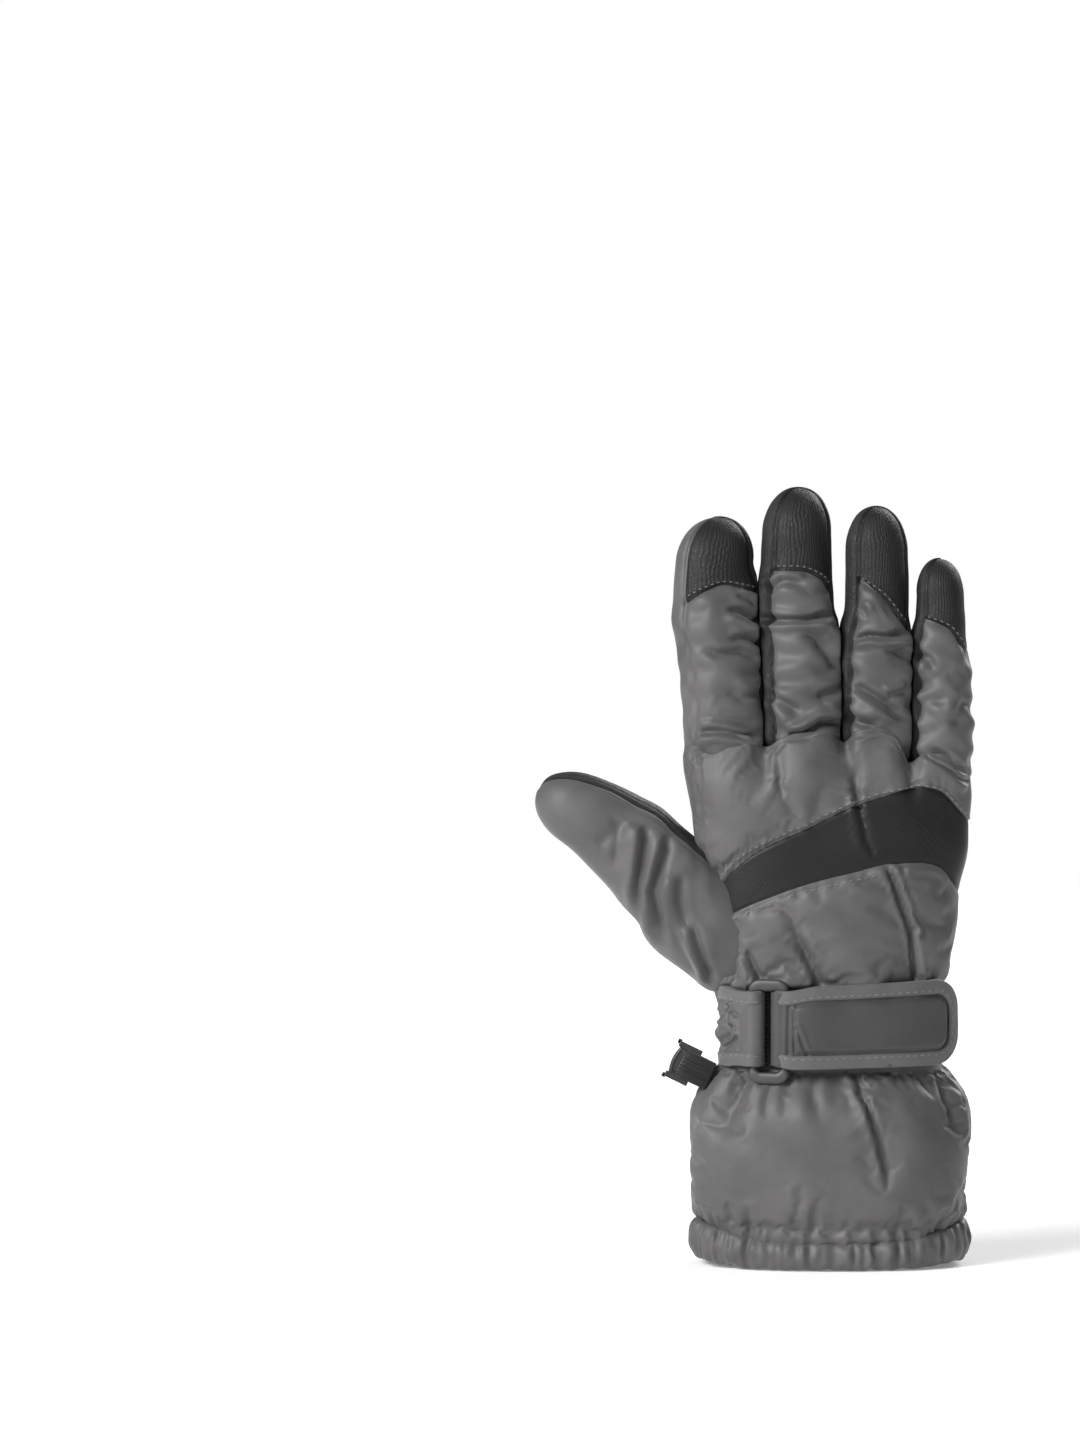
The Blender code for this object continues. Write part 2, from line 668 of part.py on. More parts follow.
TAB_PTS = [surf(-37.4, 86, 2.6), surf(-35.6, 86, 2.8), surf(-33.0, 86, 4.0)]
TAB_PTS += round_bar(BAR_L, 2.3, 110, -90, 6)
_e = BAR_L - RE * 2.6 - RN * 2.25
TAB_PTS += [(_e.x, _e.y)]
strip("strap_anchor_tab", TAB_PTS, 0.6, lambda i: (72.0, 97.6), "strap")

FOLD_PTS = [(BAR_R + RE * 3.2 - RN * 2.25)[:2]]
FOLD_PTS += round_bar(BAR_R, 2.3, -90, -270, 6)
FOLD_PTS += [(BAR_R + RE * 1.7 + RN * 2.35)[:2]]
strip("strap_fold", FOLD_PTS, 0.6, lambda i: (72.0, 99.6), "strap")

STRAP_DENSE = []
for _i in range(len(STRAP_PLAN) - 1):
    for _j in range(2):
        _t = _j / 2
        STRAP_DENSE.append(tuple(interp([(k,) + tuple(p) for k, p in enumerate(STRAP_PLAN)], _i + _t)))
STRAP_DENSE.append(STRAP_PLAN[-1])
_n = len(STRAP_DENSE)


def strap_z(i):
    zc = (STRAP_Z[0] + STRAP_Z[1]) / 2
    hz = (STRAP_Z[1] - STRAP_Z[0]) / 2
    k = (_n - 1 - i) / 4.0
    if k < 1.0:
        hz = hz * (0.30 + 0.70 * math.sqrt(max(0.0, 1 - (1 - k) ** 2)))
    return (zc - hz, zc + hz)


strip("cinch_strap", STRAP_DENSE, STRAP_T / 2, strap_z, "strap")
_l, _r = plan_offsets(STRAP_DENSE, STRAP_T / 2 + 0.85)
strip("strap_hook_patch", [(p.x, p.y) for p in _l[5:-2]], 0.45, lambda i: (76.5, 97.0), "webbing")


def loop_fn(s, t, side):
    u = lerp(-0.55, body_u(-8.5, 86), s)
    h = lerp(9.0, 12.8, min(1.0, max(0.0, (s - 0.12) / 0.3)))
    return body(u, lerp(86 - h, 86 + h, t), (1.5, 0.4)[side])


shell("strap_base_loop", loop_fn, 20, 1, "webbing")

# ---------------------------------------------------------------------------
# Glove clip on its webbing loop
# ---------------------------------------------------------------------------
_c = math.radians(CLIP_ANGLE)
CP = Vector((-math.cos(_c), 0, math.sin(_c)))        # way the clip points
CW = Vector((math.sin(_c), 0, math.cos(_c)))         # along the bar
CN = Vector((0, -1, 0))
CO = Vector(CLIP_O)


def clip_web(s, t, side):
    pts = [(-9.4, 1.2), (-5.0, 1.7), (0.0, 1.95)]
    for k in range(1, 6):
        a = math.radians(90 - 180 * k / 6)
        pts.append((1.95 * math.cos(a), 1.95 * math.sin(a)))
    pts += [(0.0, -1.95), (-5.0, -1.7), (-9.4, -1.2)]
    n = len(pts)
    i = int(round(s * (n - 1)))
    a, b = Vector(pts[max(0, i - 1)]), Vector(pts[min(n - 1, i + 1)])
    d = (b - a).normalized()
    nrm = Vector((-d.y, d.x))
    p = Vector(pts[i]) + nrm * (0.42 if side == 0 else -0.42)
    return CO + CP * p.x + CN * p.y + CW * lerp(-4.2, 4.2, t)


shell("clip_webbing", clip_web, 10, 1, "webbing")

union("clip_body", [
    box_mesh(CO, (0.9, 0.9, CLIP_W / 2), (CP, CN, CW)),
    box_mesh(CO + CP * 3.6 + CW * (CLIP_W / 2 - 0.9), (4.8, 1.35, 0.95), (CP, CN, CW)),
    box_mesh(CO + CP * 3.6 - CW * (CLIP_W / 2 - 0.9), (4.8, 1.35, 0.95), (CP, CN, CW)),
    box_mesh(CO + CP * 5.4, (2.2, 1.2, CLIP_W / 2 - 0.5), (CP, CN, CW)),
], "plastic")
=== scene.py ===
import math

import bpy
import numpy as np
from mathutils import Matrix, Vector
from mathutils.kdtree import KDTree


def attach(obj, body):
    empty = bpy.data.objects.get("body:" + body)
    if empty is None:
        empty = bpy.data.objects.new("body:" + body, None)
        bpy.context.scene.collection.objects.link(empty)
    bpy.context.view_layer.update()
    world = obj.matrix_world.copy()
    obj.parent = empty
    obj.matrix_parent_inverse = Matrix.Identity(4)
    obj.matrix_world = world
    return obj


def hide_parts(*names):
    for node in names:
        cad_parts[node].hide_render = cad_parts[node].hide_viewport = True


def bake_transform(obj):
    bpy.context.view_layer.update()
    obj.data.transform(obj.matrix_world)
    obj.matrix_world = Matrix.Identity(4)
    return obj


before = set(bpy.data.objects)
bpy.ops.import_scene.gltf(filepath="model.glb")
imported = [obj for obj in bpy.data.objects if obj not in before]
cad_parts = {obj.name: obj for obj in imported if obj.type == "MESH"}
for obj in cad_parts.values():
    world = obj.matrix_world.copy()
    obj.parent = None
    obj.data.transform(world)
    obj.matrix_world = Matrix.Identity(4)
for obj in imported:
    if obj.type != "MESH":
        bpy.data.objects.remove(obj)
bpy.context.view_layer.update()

SX = 26.915          # row frame shift across, in mm
rng = np.random.RandomState(7)


# ============================================================================
# Tables of the glove's form, in mm (same numbers as the CAD source)
# ============================================================================
BODY = np.array([
    (0.0, -49.0, 49.0, 29.0, 2.25),
    (5.0, -50.2, 50.2, 30.3, 2.25),
    (11.0, -50.4, 50.4, 30.6, 2.25),
    (15.0, -48.8, 48.8, 29.3, 2.25),
    (20.0, -50.0, 50.0, 30.4, 2.25),
    (40.0, -51.0, 50.8, 30.8, 2.3),
    (52.0, -50.0, 50.0, 29.0, 2.3),
    (60.0, -46.4, 47.6, 25.6, 2.35),
    (66.0, -42.4, 43.0, 22.8, 2.4),
    (72.0, -39.4, 39.6, 20.6, 2.45),
    (88.0, -38.6, 39.0, 19.6, 2.45),
    (100.0, -39.6, 39.8, 19.6, 2.45),
    (117.0, -42.4, 43.5, 20.0, 2.5),
    (132.0, -43.6, 46.0, 20.0, 2.55),
    (151.0, -47.4, 49.3, 19.4, 2.6),
    (170.0, -50.2, 50.2, 17.8, 2.65),
    (180.0, -51.6, 50.4, 16.0, 2.7),
    (188.0, -52.2, 50.4, 14.8, 2.7),
])
BAND = np.array([
    (-52.0, 117.5, 124.0), (-43.0, 121.3, 132.0), (-35.0, 126.4, 142.0), (-26.0, 130.6, 148.8),
    (-8.3, 137.1, 156.9), (8.0, 141.2, 164.7), (20.0, 144.0, 168.6), (31.0, 144.4, 171.4),
    (38.0, 143.0, 170.0), (46.0, 134.0, 163.0), (50.5, 127.0, 158.0)])
FINGERS = {
    "index": dict(rows=[(172.0, -38.0, 12.9, 13.0, 0.0), (184.0, -38.2, 13.4, 14.0, 0.0), (194.0, -38.2, 13.5, 13.9, 0.0),
                        (210.0, -39.3, 13.7, 13.3, 0.3), (226.0, -40.9, 14.2, 13.1, 1.0),
                        (240.0, -41.8, 14.9, 12.9, 2.0), (252.0, -41.6, 14.3, 12.2, 3.2)],
                  tip=(-40.2, 268.5, 5.0), knuckle=194.0, mid=226.0, cut=210.0, u=(0.42, math.pi - 0.62),
                  seam0=(0.42, math.pi + 0.88), strip=math.pi - 0.72,
                  cap=[(-60, 235.5), (-52.8, 237.0), (-45.0, 241.2), (-38.4, 243.5), (-27.8, 240.9), (-20, 239.5)], n=(74, 70)),
    "middle": dict(rows=[(172.0, -10.0, 12.6, 13.4, 0.0), (184.0, -10.0, 13.1, 14.3, 0.0), (194.0, -10.0, 13.2, 14.2, 0.0),
                         (212.0, -10.4, 13.1, 13.7, 0.4), (232.0, -11.2, 13.1, 13.3, 1.2),
                         (250.0, -12.0, 12.9, 12.8, 2.6), (262.0, -11.8, 12.5, 12.2, 3.8)],
                   tip=(-11.1, 279.0, 5.6), knuckle=194.0, mid=232.0, cut=213.0, u=(0.25, math.pi - 0.62),
                   seam0=(0.34, math.pi - 0.84),
                   cap=[(-30, 249.0), (-21.9, 248.6), (-12.0, 248.6), (-2.9, 245.4), (2, 238.0)], n=(74, 76)),
    "ring": dict(rows=[(172.0, 16.0, 11.2, 12.8, 0.0), (184.0, 16.0, 11.7, 13.6, 0.0), (194.0, 16.0, 11.7, 13.5, 0.0),
                       (210.0, 16.2, 11.7, 12.9, 0.3), (226.0, 16.6, 11.6, 12.5, 1.0),
                       (244.0, 17.0, 11.5, 12.0, 2.4), (256.0, 17.0, 11.2, 11.4, 3.6)],
                 tip=(16.8, 272.2, 5.2), knuckle=194.0, mid=226.0, cut=210.0, u=(0.25, math.pi - 0.62),
                 seam0=(0.34, math.pi - 0.86),
                 cap=[(0, 247.0), (7.4, 246.3), (14.0, 242.5), (20.0, 237.5), (26.6, 228.8), (30, 224.0)], n=(68, 72)),
    "little": dict(rows=[(164.0, 39.6, 9.9, 11.6, 0.0), (177.0, 39.9, 10.2, 12.5, 0.0), (187.0, 39.9, 10.2, 12.2, 0.0),
                         (200.0, 39.8, 10.0, 11.5, 0.3), (215.0, 39.9, 9.8, 11.1, 1.0),
                         (230.0, 40.0, 9.3, 10.6, 2.2), (240.0, 40.0, 8.8, 10.0, 3.2)],
                   tip=(39.8, 253.5, 4.6), knuckle=187.0, mid=215.0, cut=201.0, u=(-0.6, math.pi - 0.62),
                   seam0=(-1.12, math.pi - 0.76),
                   cap=[(28, 233.0), (32.7, 231.6), (38.0, 229.8), (43.0, 227.4), (47.0, 222.5), (50.0, 216.7), (53, 210.0)], n=(62, 66)),
}
THUMB = np.array([
    (-16.0, -30.0, 117.0, 23.0, 14.0, 96.0),
    (0.0, -46.0, 126.0, 26.5, 16.8, 93.0),
    (17.0, -59.0, 137.0, 25.0, 16.2, 88.0),
    (31.5, -69.6, 147.0, 20.6, 15.0, 84.0),
    (45.7, -80.3, 156.2, 16.4, 13.8, 78.0),
    (56.0, -89.0, 162.3, 13.9, 12.9, 71.0)])
THUMB_TIP = (-104.9, 169.6, 2.5)


def pchip(rows, x):
    """Monotone cubic interpolation of the columns of rows at the array x."""
    rows = np.asarray(rows, float)
    xs, ys = rows[:, 0], rows[:, 1:]
    x = np.clip(np.asarray(x, float), xs[0], xs[-1])
    h = np.diff(xs)
    d = np.diff(ys, axis=0) / h[:, None]
    m = np.zeros_like(ys)
    a, b = d[:-1], d[1:]
    with np.errstate(divide="ignore", invalid="ignore"):
        hm = np.where(a * b > 0, 2 * a * b / (a + b), 0.0)
    m[1:-1] = hm
    m[0], m[-1] = d[0], d[-1]
    k = np.clip(np.searchsorted(xs, x, side="right") - 1, 0, len(h) - 1)
    t = ((x - xs[k]) / h[k])[..., None]
    hk = h[k][..., None]
    t2, t3 = t * t, t ** 3
    out = (2 * t3 - 3 * t2 + 1) * ys[k] + (t3 - 2 * t2 + t) * hk * m[k] \
        + (-2 * t3 + 3 * t2) * ys[k + 1] + (t3 - t2) * hk * m[k + 1]
    return [out[..., i] for i in range(out.shape[-1])]


def sp(c, n):
    return np.sign(c) * np.abs(c) ** (2.0 / n)


def body_pt(u, z, off=0.0):
    left, right, b, n = pchip(BODY, z)
    cx, a = (left + right) / 2, (right - left) / 2
    return np.stack([cx + (a + off) * sp(np.cos(u), n), -(b + off) * sp(np.sin(u), n), z + 0 * u], -1)


def smooth(a, b, x):
    t = np.clip((x - a) / (b - a), 0, 1)
    return t * t * (3 - 2 * t)


def gauss(x):
    return np.exp(-x * x)


# ============================================================================
# Grids: rows i (along) by columns j (around)
# ============================================================================
def normals(P, closed=True):
    if closed:
        du = np.roll(P, -1, 1) - np.roll(P, 1, 1)
    else:
        du = np.gradient(P, axis=1)
    dv = np.gradient(P, axis=0)
    n = np.cross(du, dv)
    n /= np.maximum(np.linalg.norm(n, axis=-1, keepdims=True), 1e-9)
    return n


def outward(P, N):
    c = P.mean(axis=1, keepdims=True)
    s = np.sign(np.mean(np.sum((P - c) * N, -1)))
    return N * s


def up(A, closed=True):
    """Doubles a grid's resolution with cubic interpolation."""
    if closed:
        m1, p1, p2 = np.roll(A, 1, 1), np.roll(A, -1, 1), np.roll(A, -2, 1)
        mid = (-m1 + 9 * A + 9 * p1 - p2) / 16.0
        B = np.empty((A.shape[0], A.shape[1] * 2) + A.shape[2:], float)
        B[:, 0::2], B[:, 1::2] = A, mid
    else:
        E = np.concatenate([2 * A[:, :1] - A[:, 1:2], A, 2 * A[:, -1:] - A[:, -2:-1]], 1)
        mid = (-E[:, :-3] + 9 * E[:, 1:-2] + 9 * E[:, 2:-1] - E[:, 3:]) / 16.0
        B = np.empty((A.shape[0], A.shape[1] * 2 - 1) + A.shape[2:], float)
        B[:, 0::2], B[:, 1::2] = A, mid
    E = np.concatenate([2 * B[:1] - B[1:2], B, 2 * B[-1:] - B[-2:-1]], 0)
    mid = (-E[:-3] + 9 * E[1:-2] + 9 * E[2:-1] - E[3:]) / 16.0
    C = np.empty((B.shape[0] * 2 - 1,) + B.shape[1:], float)
    C[0::2], C[1::2] = B, mid
    return C


def seg_dist(X, Z, pts):
    """Distance from points to a polyline in the XZ plane, and the place along it from 0 to 1."""
    best = np.full(X.shape, 1e9)
    along = np.zeros(X.shape)
    side = np.zeros(X.shape)
    pts = np.asarray(pts, float)
    L = np.linalg.norm(np.diff(pts, axis=0), axis=1)
    tot, acc = L.sum(), 0.0
    for k in range(len(pts) - 1):
        a, b = pts[k], pts[k + 1]
        d = b - a
        t = np.clip(((X - a[0]) * d[0] + (Z - a[1]) * d[1]) / max(1e-9, d @ d), 0, 1)
        px, pz = X - a[0] - t * d[0], Z - a[1] - t * d[1]
        r = np.hypot(px, pz)
        s = np.sign(px * d[1] - pz * d[0])
        use = r < best
        best = np.where(use, r, best)
        along = np.where(use, (acc + t * L[k]) / tot, along)
        side = np.where(use, s, side)
        acc += L[k]
    return best, along, side


def crease(P, N, back, pts, depth, width, ridge=0.4, onesided=0, taper=(0.15, 0.25)):
    """Fold line seen from the back (back=True) or the palm. Returns a displacement along the normals."""
    D, A, S = seg_dist(P[..., 0], P[..., 2], pts)
    face = np.clip(-N[..., 1] * 2.0, 0, 1) if back else np.clip(N[..., 1] * 2.0, 0, 1)
    e = smooth(0, taper[0], A) * (1 - smooth(1 - taper[1], 1, A)) if taper[0] > 0 else 1 - smooth(1 - taper[1], 1, A)
    e = np.maximum(e, 0) * gauss(np.maximum(D - 6 * width, 0) / width)
    v = -depth * gauss(D / width)
    r = depth * ridge * gauss((D - 2.1 * width) / (1.3 * width))
    if onesided:
        r = r * np.where(S * onesided > 0, 1.9, 0.25)
    return (v + r) * e * face


class Waves:
    """Gentle repeatable noise: a sum of sines with random directions."""

    def __init__(self, seed, scale, count=14, aniso=(1, 1, 1)):
        r = np.random.RandomState(seed)
        self.k = r.normal(size=(count, 3))
        self.k /= np.linalg.norm(self.k, axis=1, keepdims=True)
        self.k *= (2 * math.pi / scale) * r.uniform(0.6, 1.6, size=(count, 1)) * np.asarray(aniso)[None]
        self.p = r.uniform(0, 2 * math.pi, count)
        self.a = r.uniform(0.5, 1.0, count)
        self.a /= np.sqrt((self.a ** 2).sum() / 2)

    def __call__(self, P):
        return (np.sin(P @ self.k.T + self.p) * self.a).sum(-1)


# ============================================================================
# Cloth simulation of one grid at ten times its size
# ============================================================================
def quads(ni, nj, closed):
    f = []
    cj = nj if closed else nj - 1
    i, j = np.meshgrid(np.arange(ni - 1), np.arange(cj), indexing="ij")
    a = i * nj + j
    b = i * nj + (j + 1) % nj
    c = (i + 1) * nj + (j + 1) % nj
    d = (i + 1) * nj + j
    return np.stack([a, b, c, d], -1).reshape(-1, 4)


def simulate(P, pin, pressure=3.0, grow=0.05, frames=16, bend=0.6, closed=True, tension=12.0, flip=False):
    ni, nj = P.shape[:2]
    me = bpy.data.meshes.new("sim")
    F = quads(ni, nj, closed)
    flat = P.reshape(-1, 3)
    fn = np.cross(flat[F[:, 1]] - flat[F[:, 0]], flat[F[:, 2]] - flat[F[:, 0]])
    if np.sum(fn * outward(P, normals(P)).reshape(-1, 3)[F[:, 0]]) < 0:
        F = F[:, ::-1]
    me.from_pydata((P.reshape(-1, 3) * 0.01).tolist(), [], F.tolist())
    me.update()
    ob = bpy.data.objects.new("sim", me)
    bpy.context.scene.collection.objects.link(ob)
    vg = ob.vertex_groups.new(name="pin")
    w = pin.reshape(-1)
    levels = np.round(w * 20).astype(int)
    for lv in range(1, 21):
        idx = np.nonzero(levels == lv)[0]
        if len(idx):
            vg.add(idx.tolist(), lv / 20.0, "REPLACE")
    m = ob.modifiers.new("Cloth", "CLOTH")
    s = m.settings
    s.quality = 5
    s.mass = 0.15
    s.tension_stiffness = tension
    s.compression_stiffness = tension
    s.shear_stiffness = 4.0
    s.bending_stiffness = bend
    s.tension_damping = 8
    s.compression_damping = 8
    s.shear_damping = 5
    s.bending_damping = 0.5
    s.air_damping = 2.0
    s.vertex_group_mass = "pin"
    s.pin_stiffness = 1.0
    s.shrink_min = -grow
    s.shrink_max = -grow
    s.use_pressure = True
    s.uniform_pressure_force = pressure
    s.effector_weights.gravity = 0.0
    m.collision_settings.use_collision = False
    m.collision_settings.use_self_collision = False
    m.point_cache.frame_start = 1
    m.point_cache.frame_end = frames
    sc = bpy.context.scene
    for fr in range(1, frames + 1):
        sc.frame_set(fr)
    dg = bpy.context.evaluated_depsgraph_get()
    ev = ob.evaluated_get(dg)
    co = np.empty(len(me.vertices) * 3, np.float32)
    ev.data.vertices.foreach_get("co", co)
    Q = co.reshape(ni, nj, 3).astype(float) * 100.0
    sc.frame_set(1)
    bpy.data.objects.remove(ob, do_unlink=True)
    bpy.data.meshes.remove(me)
    if not np.isfinite(Q).all():
        return P
    d = Q - P
    r = np.linalg.norm(d, axis=-1, keepdims=True)
    cap = 5.0
    return P + d * np.minimum(1, cap / np.maximum(r, 1e-9))


def calm(P1, P2, w, n=8, closed=True):
    """Evens out how far the cloth moved where w is near 1, so firm panels keep no ripples of cell size."""
    D = P2 - P1
    w = np.clip(w, 0, 1)[..., None]
    for k in range(n):
        r = np.concatenate([D[:1], D[:-1]], 0) + np.concatenate([D[1:], D[-1:]], 0)
        if closed:
            c = np.roll(D, 1, 1) + np.roll(D, -1, 1)
        else:
            c = np.concatenate([D[:, :1], D[:, :-1]], 1) + np.concatenate([D[:, 1:], D[:, -1:]], 1)
        D = D + w * ((r + c) / 4.0 - D)
    return P1 + D


# ============================================================================
# Meshes from grids
# ============================================================================
COLL = bpy.context.scene.collection


def mesh_object(name, V, F, N=None, uv=None, mat=None, smooth_shade=True):
    """V in mm in glove coordinates."""
    me = bpy.data.meshes.new(name)
    co = np.asarray(V, float).reshape(-1, 3).copy()
    co[:, 0] += SX
    co *= 0.001
    me.from_pydata(co.tolist(), [], [list(map(int, f)) for f in F])
    me.update()
    if smooth_shade:
        me.polygons.foreach_set("use_smooth", [True] * len(me.polygons))
    if uv is not None:
        lay = me.uv_layers.new(name="grain")
        li = np.empty(len(me.loops), np.int32)
        me.loops.foreach_get("vertex_index", li)
        lay.data.foreach_set("uv", np.asarray(uv, float).reshape(-1, 2)[li].ravel())
    if N is not None:
        me.normals_split_custom_set_from_vertices(np.asarray(N, float).reshape(-1, 3).tolist())
    ob = bpy.data.objects.new(name, me)
    COLL.objects.link(ob)
    if mat is not None:
        me.materials.append(mat)
    return ob


def cut(name, G, i0, i1, j0, j1, mat, wrap=None):
    """Sub-grid rows i0..i1 and columns j0..j1 (inclusive, columns wrap) of G = dict(P, N, uv)."""
    P, N, UV = G["P"], G["N"], G["uv"]
    nj = P.shape[1]
    cols = [j % nj for j in range(j0, j1 + 1)]
    full = (j1 - j0) >= nj
    if full:
        cols = list(range(nj))
    sub = P[i0:i1 + 1][:, cols]
    F = quads(sub.shape[0], sub.shape[1], full)
    a, b, c = sub.reshape(-1, 3)[F[:, 0]], sub.reshape(-1, 3)[F[:, 1]], sub.reshape(-1, 3)[F[:, 2]]
    fn = np.cross(b - a, c - a)
    if np.sum(fn * N[i0:i1 + 1][:, cols].reshape(-1, 3)[F[:, 0]]) < 0:
        F = F[:, ::-1]
    uv = UV[i0:i1 + 1][:, cols]
    ob = mesh_object(name, sub, F, N[i0:i1 + 1][:, cols], uv, mat)
    return ob


# ============================================================================
# Materials
# ============================================================================
def nodes_of(mat):
    mat.use_nodes = True
    nt = mat.node_tree
    return nt, nt.nodes, nt.links, nt.nodes["Principled BSDF"]


def new(nt, kind, x=0, y=0, **kw):
    n = nt.nodes.new(kind)
    n.location = (x, y)
    for k, v in kw.items():
        setattr(n, k, v)
    return n


def fabric(name, col, rough=0.52, weave=0.42, bump=0.25, sheen=0.35, var=0.10, spec=0.35, ribs=0.0, rib_step=1.6, crinkle=0.0):
    """Woven cloth: threads across and along from the piece's own grain coordinates in mm."""
    mat = bpy.data.materials.new(name)
    nt, N, L, bs = nodes_of(mat)
    uv = new(nt, "ShaderNodeUVMap", -1500, 0, uv_map="grain")
    sep = new(nt, "ShaderNodeSeparateXYZ", -1320, 0)
    L.new(uv.outputs[0], sep.inputs[0])

    def wave(src, step):
        m = new(nt, "ShaderNodeMath", -1150, 0, operation="MULTIPLY")
        L.new(src, m.inputs[0]); m.inputs[1].default_value = 2 * math.pi / step
        s = new(nt, "ShaderNodeMath", -1000, 0, operation="SINE")
        L.new(m.outputs[0], s.inputs[0])
        return s.outputs[0]

    a, b = wave(sep.outputs[0], weave), wave(sep.outputs[1], weave)
    prod = new(nt, "ShaderNodeMath", -850, 0, operation="MULTIPLY")
    L.new(a, prod.inputs[0]); L.new(b, prod.inputs[1])
    height = prod.outputs[0]
    if ribs > 0:
        r = wave(sep.outputs[0 if ribs < 2 else 1], rib_step)
        add = new(nt, "ShaderNodeMath", -700, 0, operation="MULTIPLY_ADD")
        L.new(r, add.inputs[0]); add.inputs[1].default_value = 3.0 if ribs < 2 else 3.0
        L.new(height, add.inputs[2])
        height = add.outputs[0]
    geo = new(nt, "ShaderNodeTexCoord", -1500, -400)
    noise = new(nt, "ShaderNodeTexNoise", -1150, -400)
    noise.inputs["Scale"].default_value = 38
    noise.inputs["Detail"].default_value = 5
    noise.inputs["Roughness"].default_value = 0.55
    L.new(geo.outputs["Object"], noise.inputs["Vector"])
    fine = new(nt, "ShaderNodeTexNoise", -1150, -650)
    fine.inputs["Scale"].default_value = 240
    fine.inputs["Detail"].default_value = 3
    L.new(geo.outputs["Object"], fine.inputs["Vector"])
    ramp = new(nt, "ShaderNodeMapRange", -900, -400)
    ramp.inputs["From Min"].default_value = 0.3
    ramp.inputs["From Max"].default_value = 0.7
    ramp.inputs["To Min"].default_value = 1 - var
    ramp.inputs["To Max"].default_value = 1 + var
    L.new(noise.outputs["Fac"], ramp.inputs["Value"])
    vm = new(nt, "ShaderNodeVectorMath", -700, -400, operation="SCALE")
    vm.inputs[0].default_value = col[:3]
    L.new(ramp.outputs["Result"], vm.inputs["Scale"])
    L.new(vm.outputs[0], bs.inputs["Base Color"])
    rr = new(nt, "ShaderNodeMapRange", -900, -650)
    rr.inputs["To Min"].default_value = rough - 0.06
    rr.inputs["To Max"].default_value = rough + 0.06
    L.new(fine.outputs["Fac"], rr.inputs["Value"])
    L.new(rr.outputs["Result"], bs.inputs["Roughness"])
    b1 = new(nt, "ShaderNodeBump", -450, -200)
    b1.inputs["Strength"].default_value = bump
    b1.inputs["Distance"].default_value = 0.00012
    L.new(height, b1.inputs["Height"])
    b2 = new(nt, "ShaderNodeBump", -250, -200)
    b2.inputs["Strength"].default_value = 0.35
    b2.inputs["Distance"].default_value = 0.00030
    L.new(fine.outputs["Fac"], b2.inputs["Height"])
    L.new(b1.outputs[0], b2.inputs["Normal"])
    if crinkle > 0:
        cr = new(nt, "ShaderNodeTexNoise", -700, -900)
        cr.noise_type = "RIDGED_MULTIFRACTAL"
        cr.inputs["Scale"].default_value = 42
        cr.inputs["Detail"].default_value = 2.5
        cr.inputs["Roughness"].default_value = 0.45
        cr.inputs["Distortion"].default_value = 0.8
        L.new(geo.outputs["Object"], cr.inputs["Vector"])
        b3 = new(nt, "ShaderNodeBump", -100, -500)
        b3.inputs["Strength"].default_value = crinkle
        b3.inputs["Distance"].default_value = 0.0006
        L.new(cr.outputs["Fac"], b3.inputs["Height"])
        L.new(b2.outputs[0], b3.inputs["Normal"])
        L.new(b3.outputs[0], bs.inputs["Normal"])
    else:
        L.new(b2.outputs[0], bs.inputs["Normal"])
    bs.inputs["Sheen Weight"].default_value = sheen
    bs.inputs["Sheen Roughness"].default_value = 0.4
    bs.inputs["Specular IOR Level"].default_value = spec
    return mat


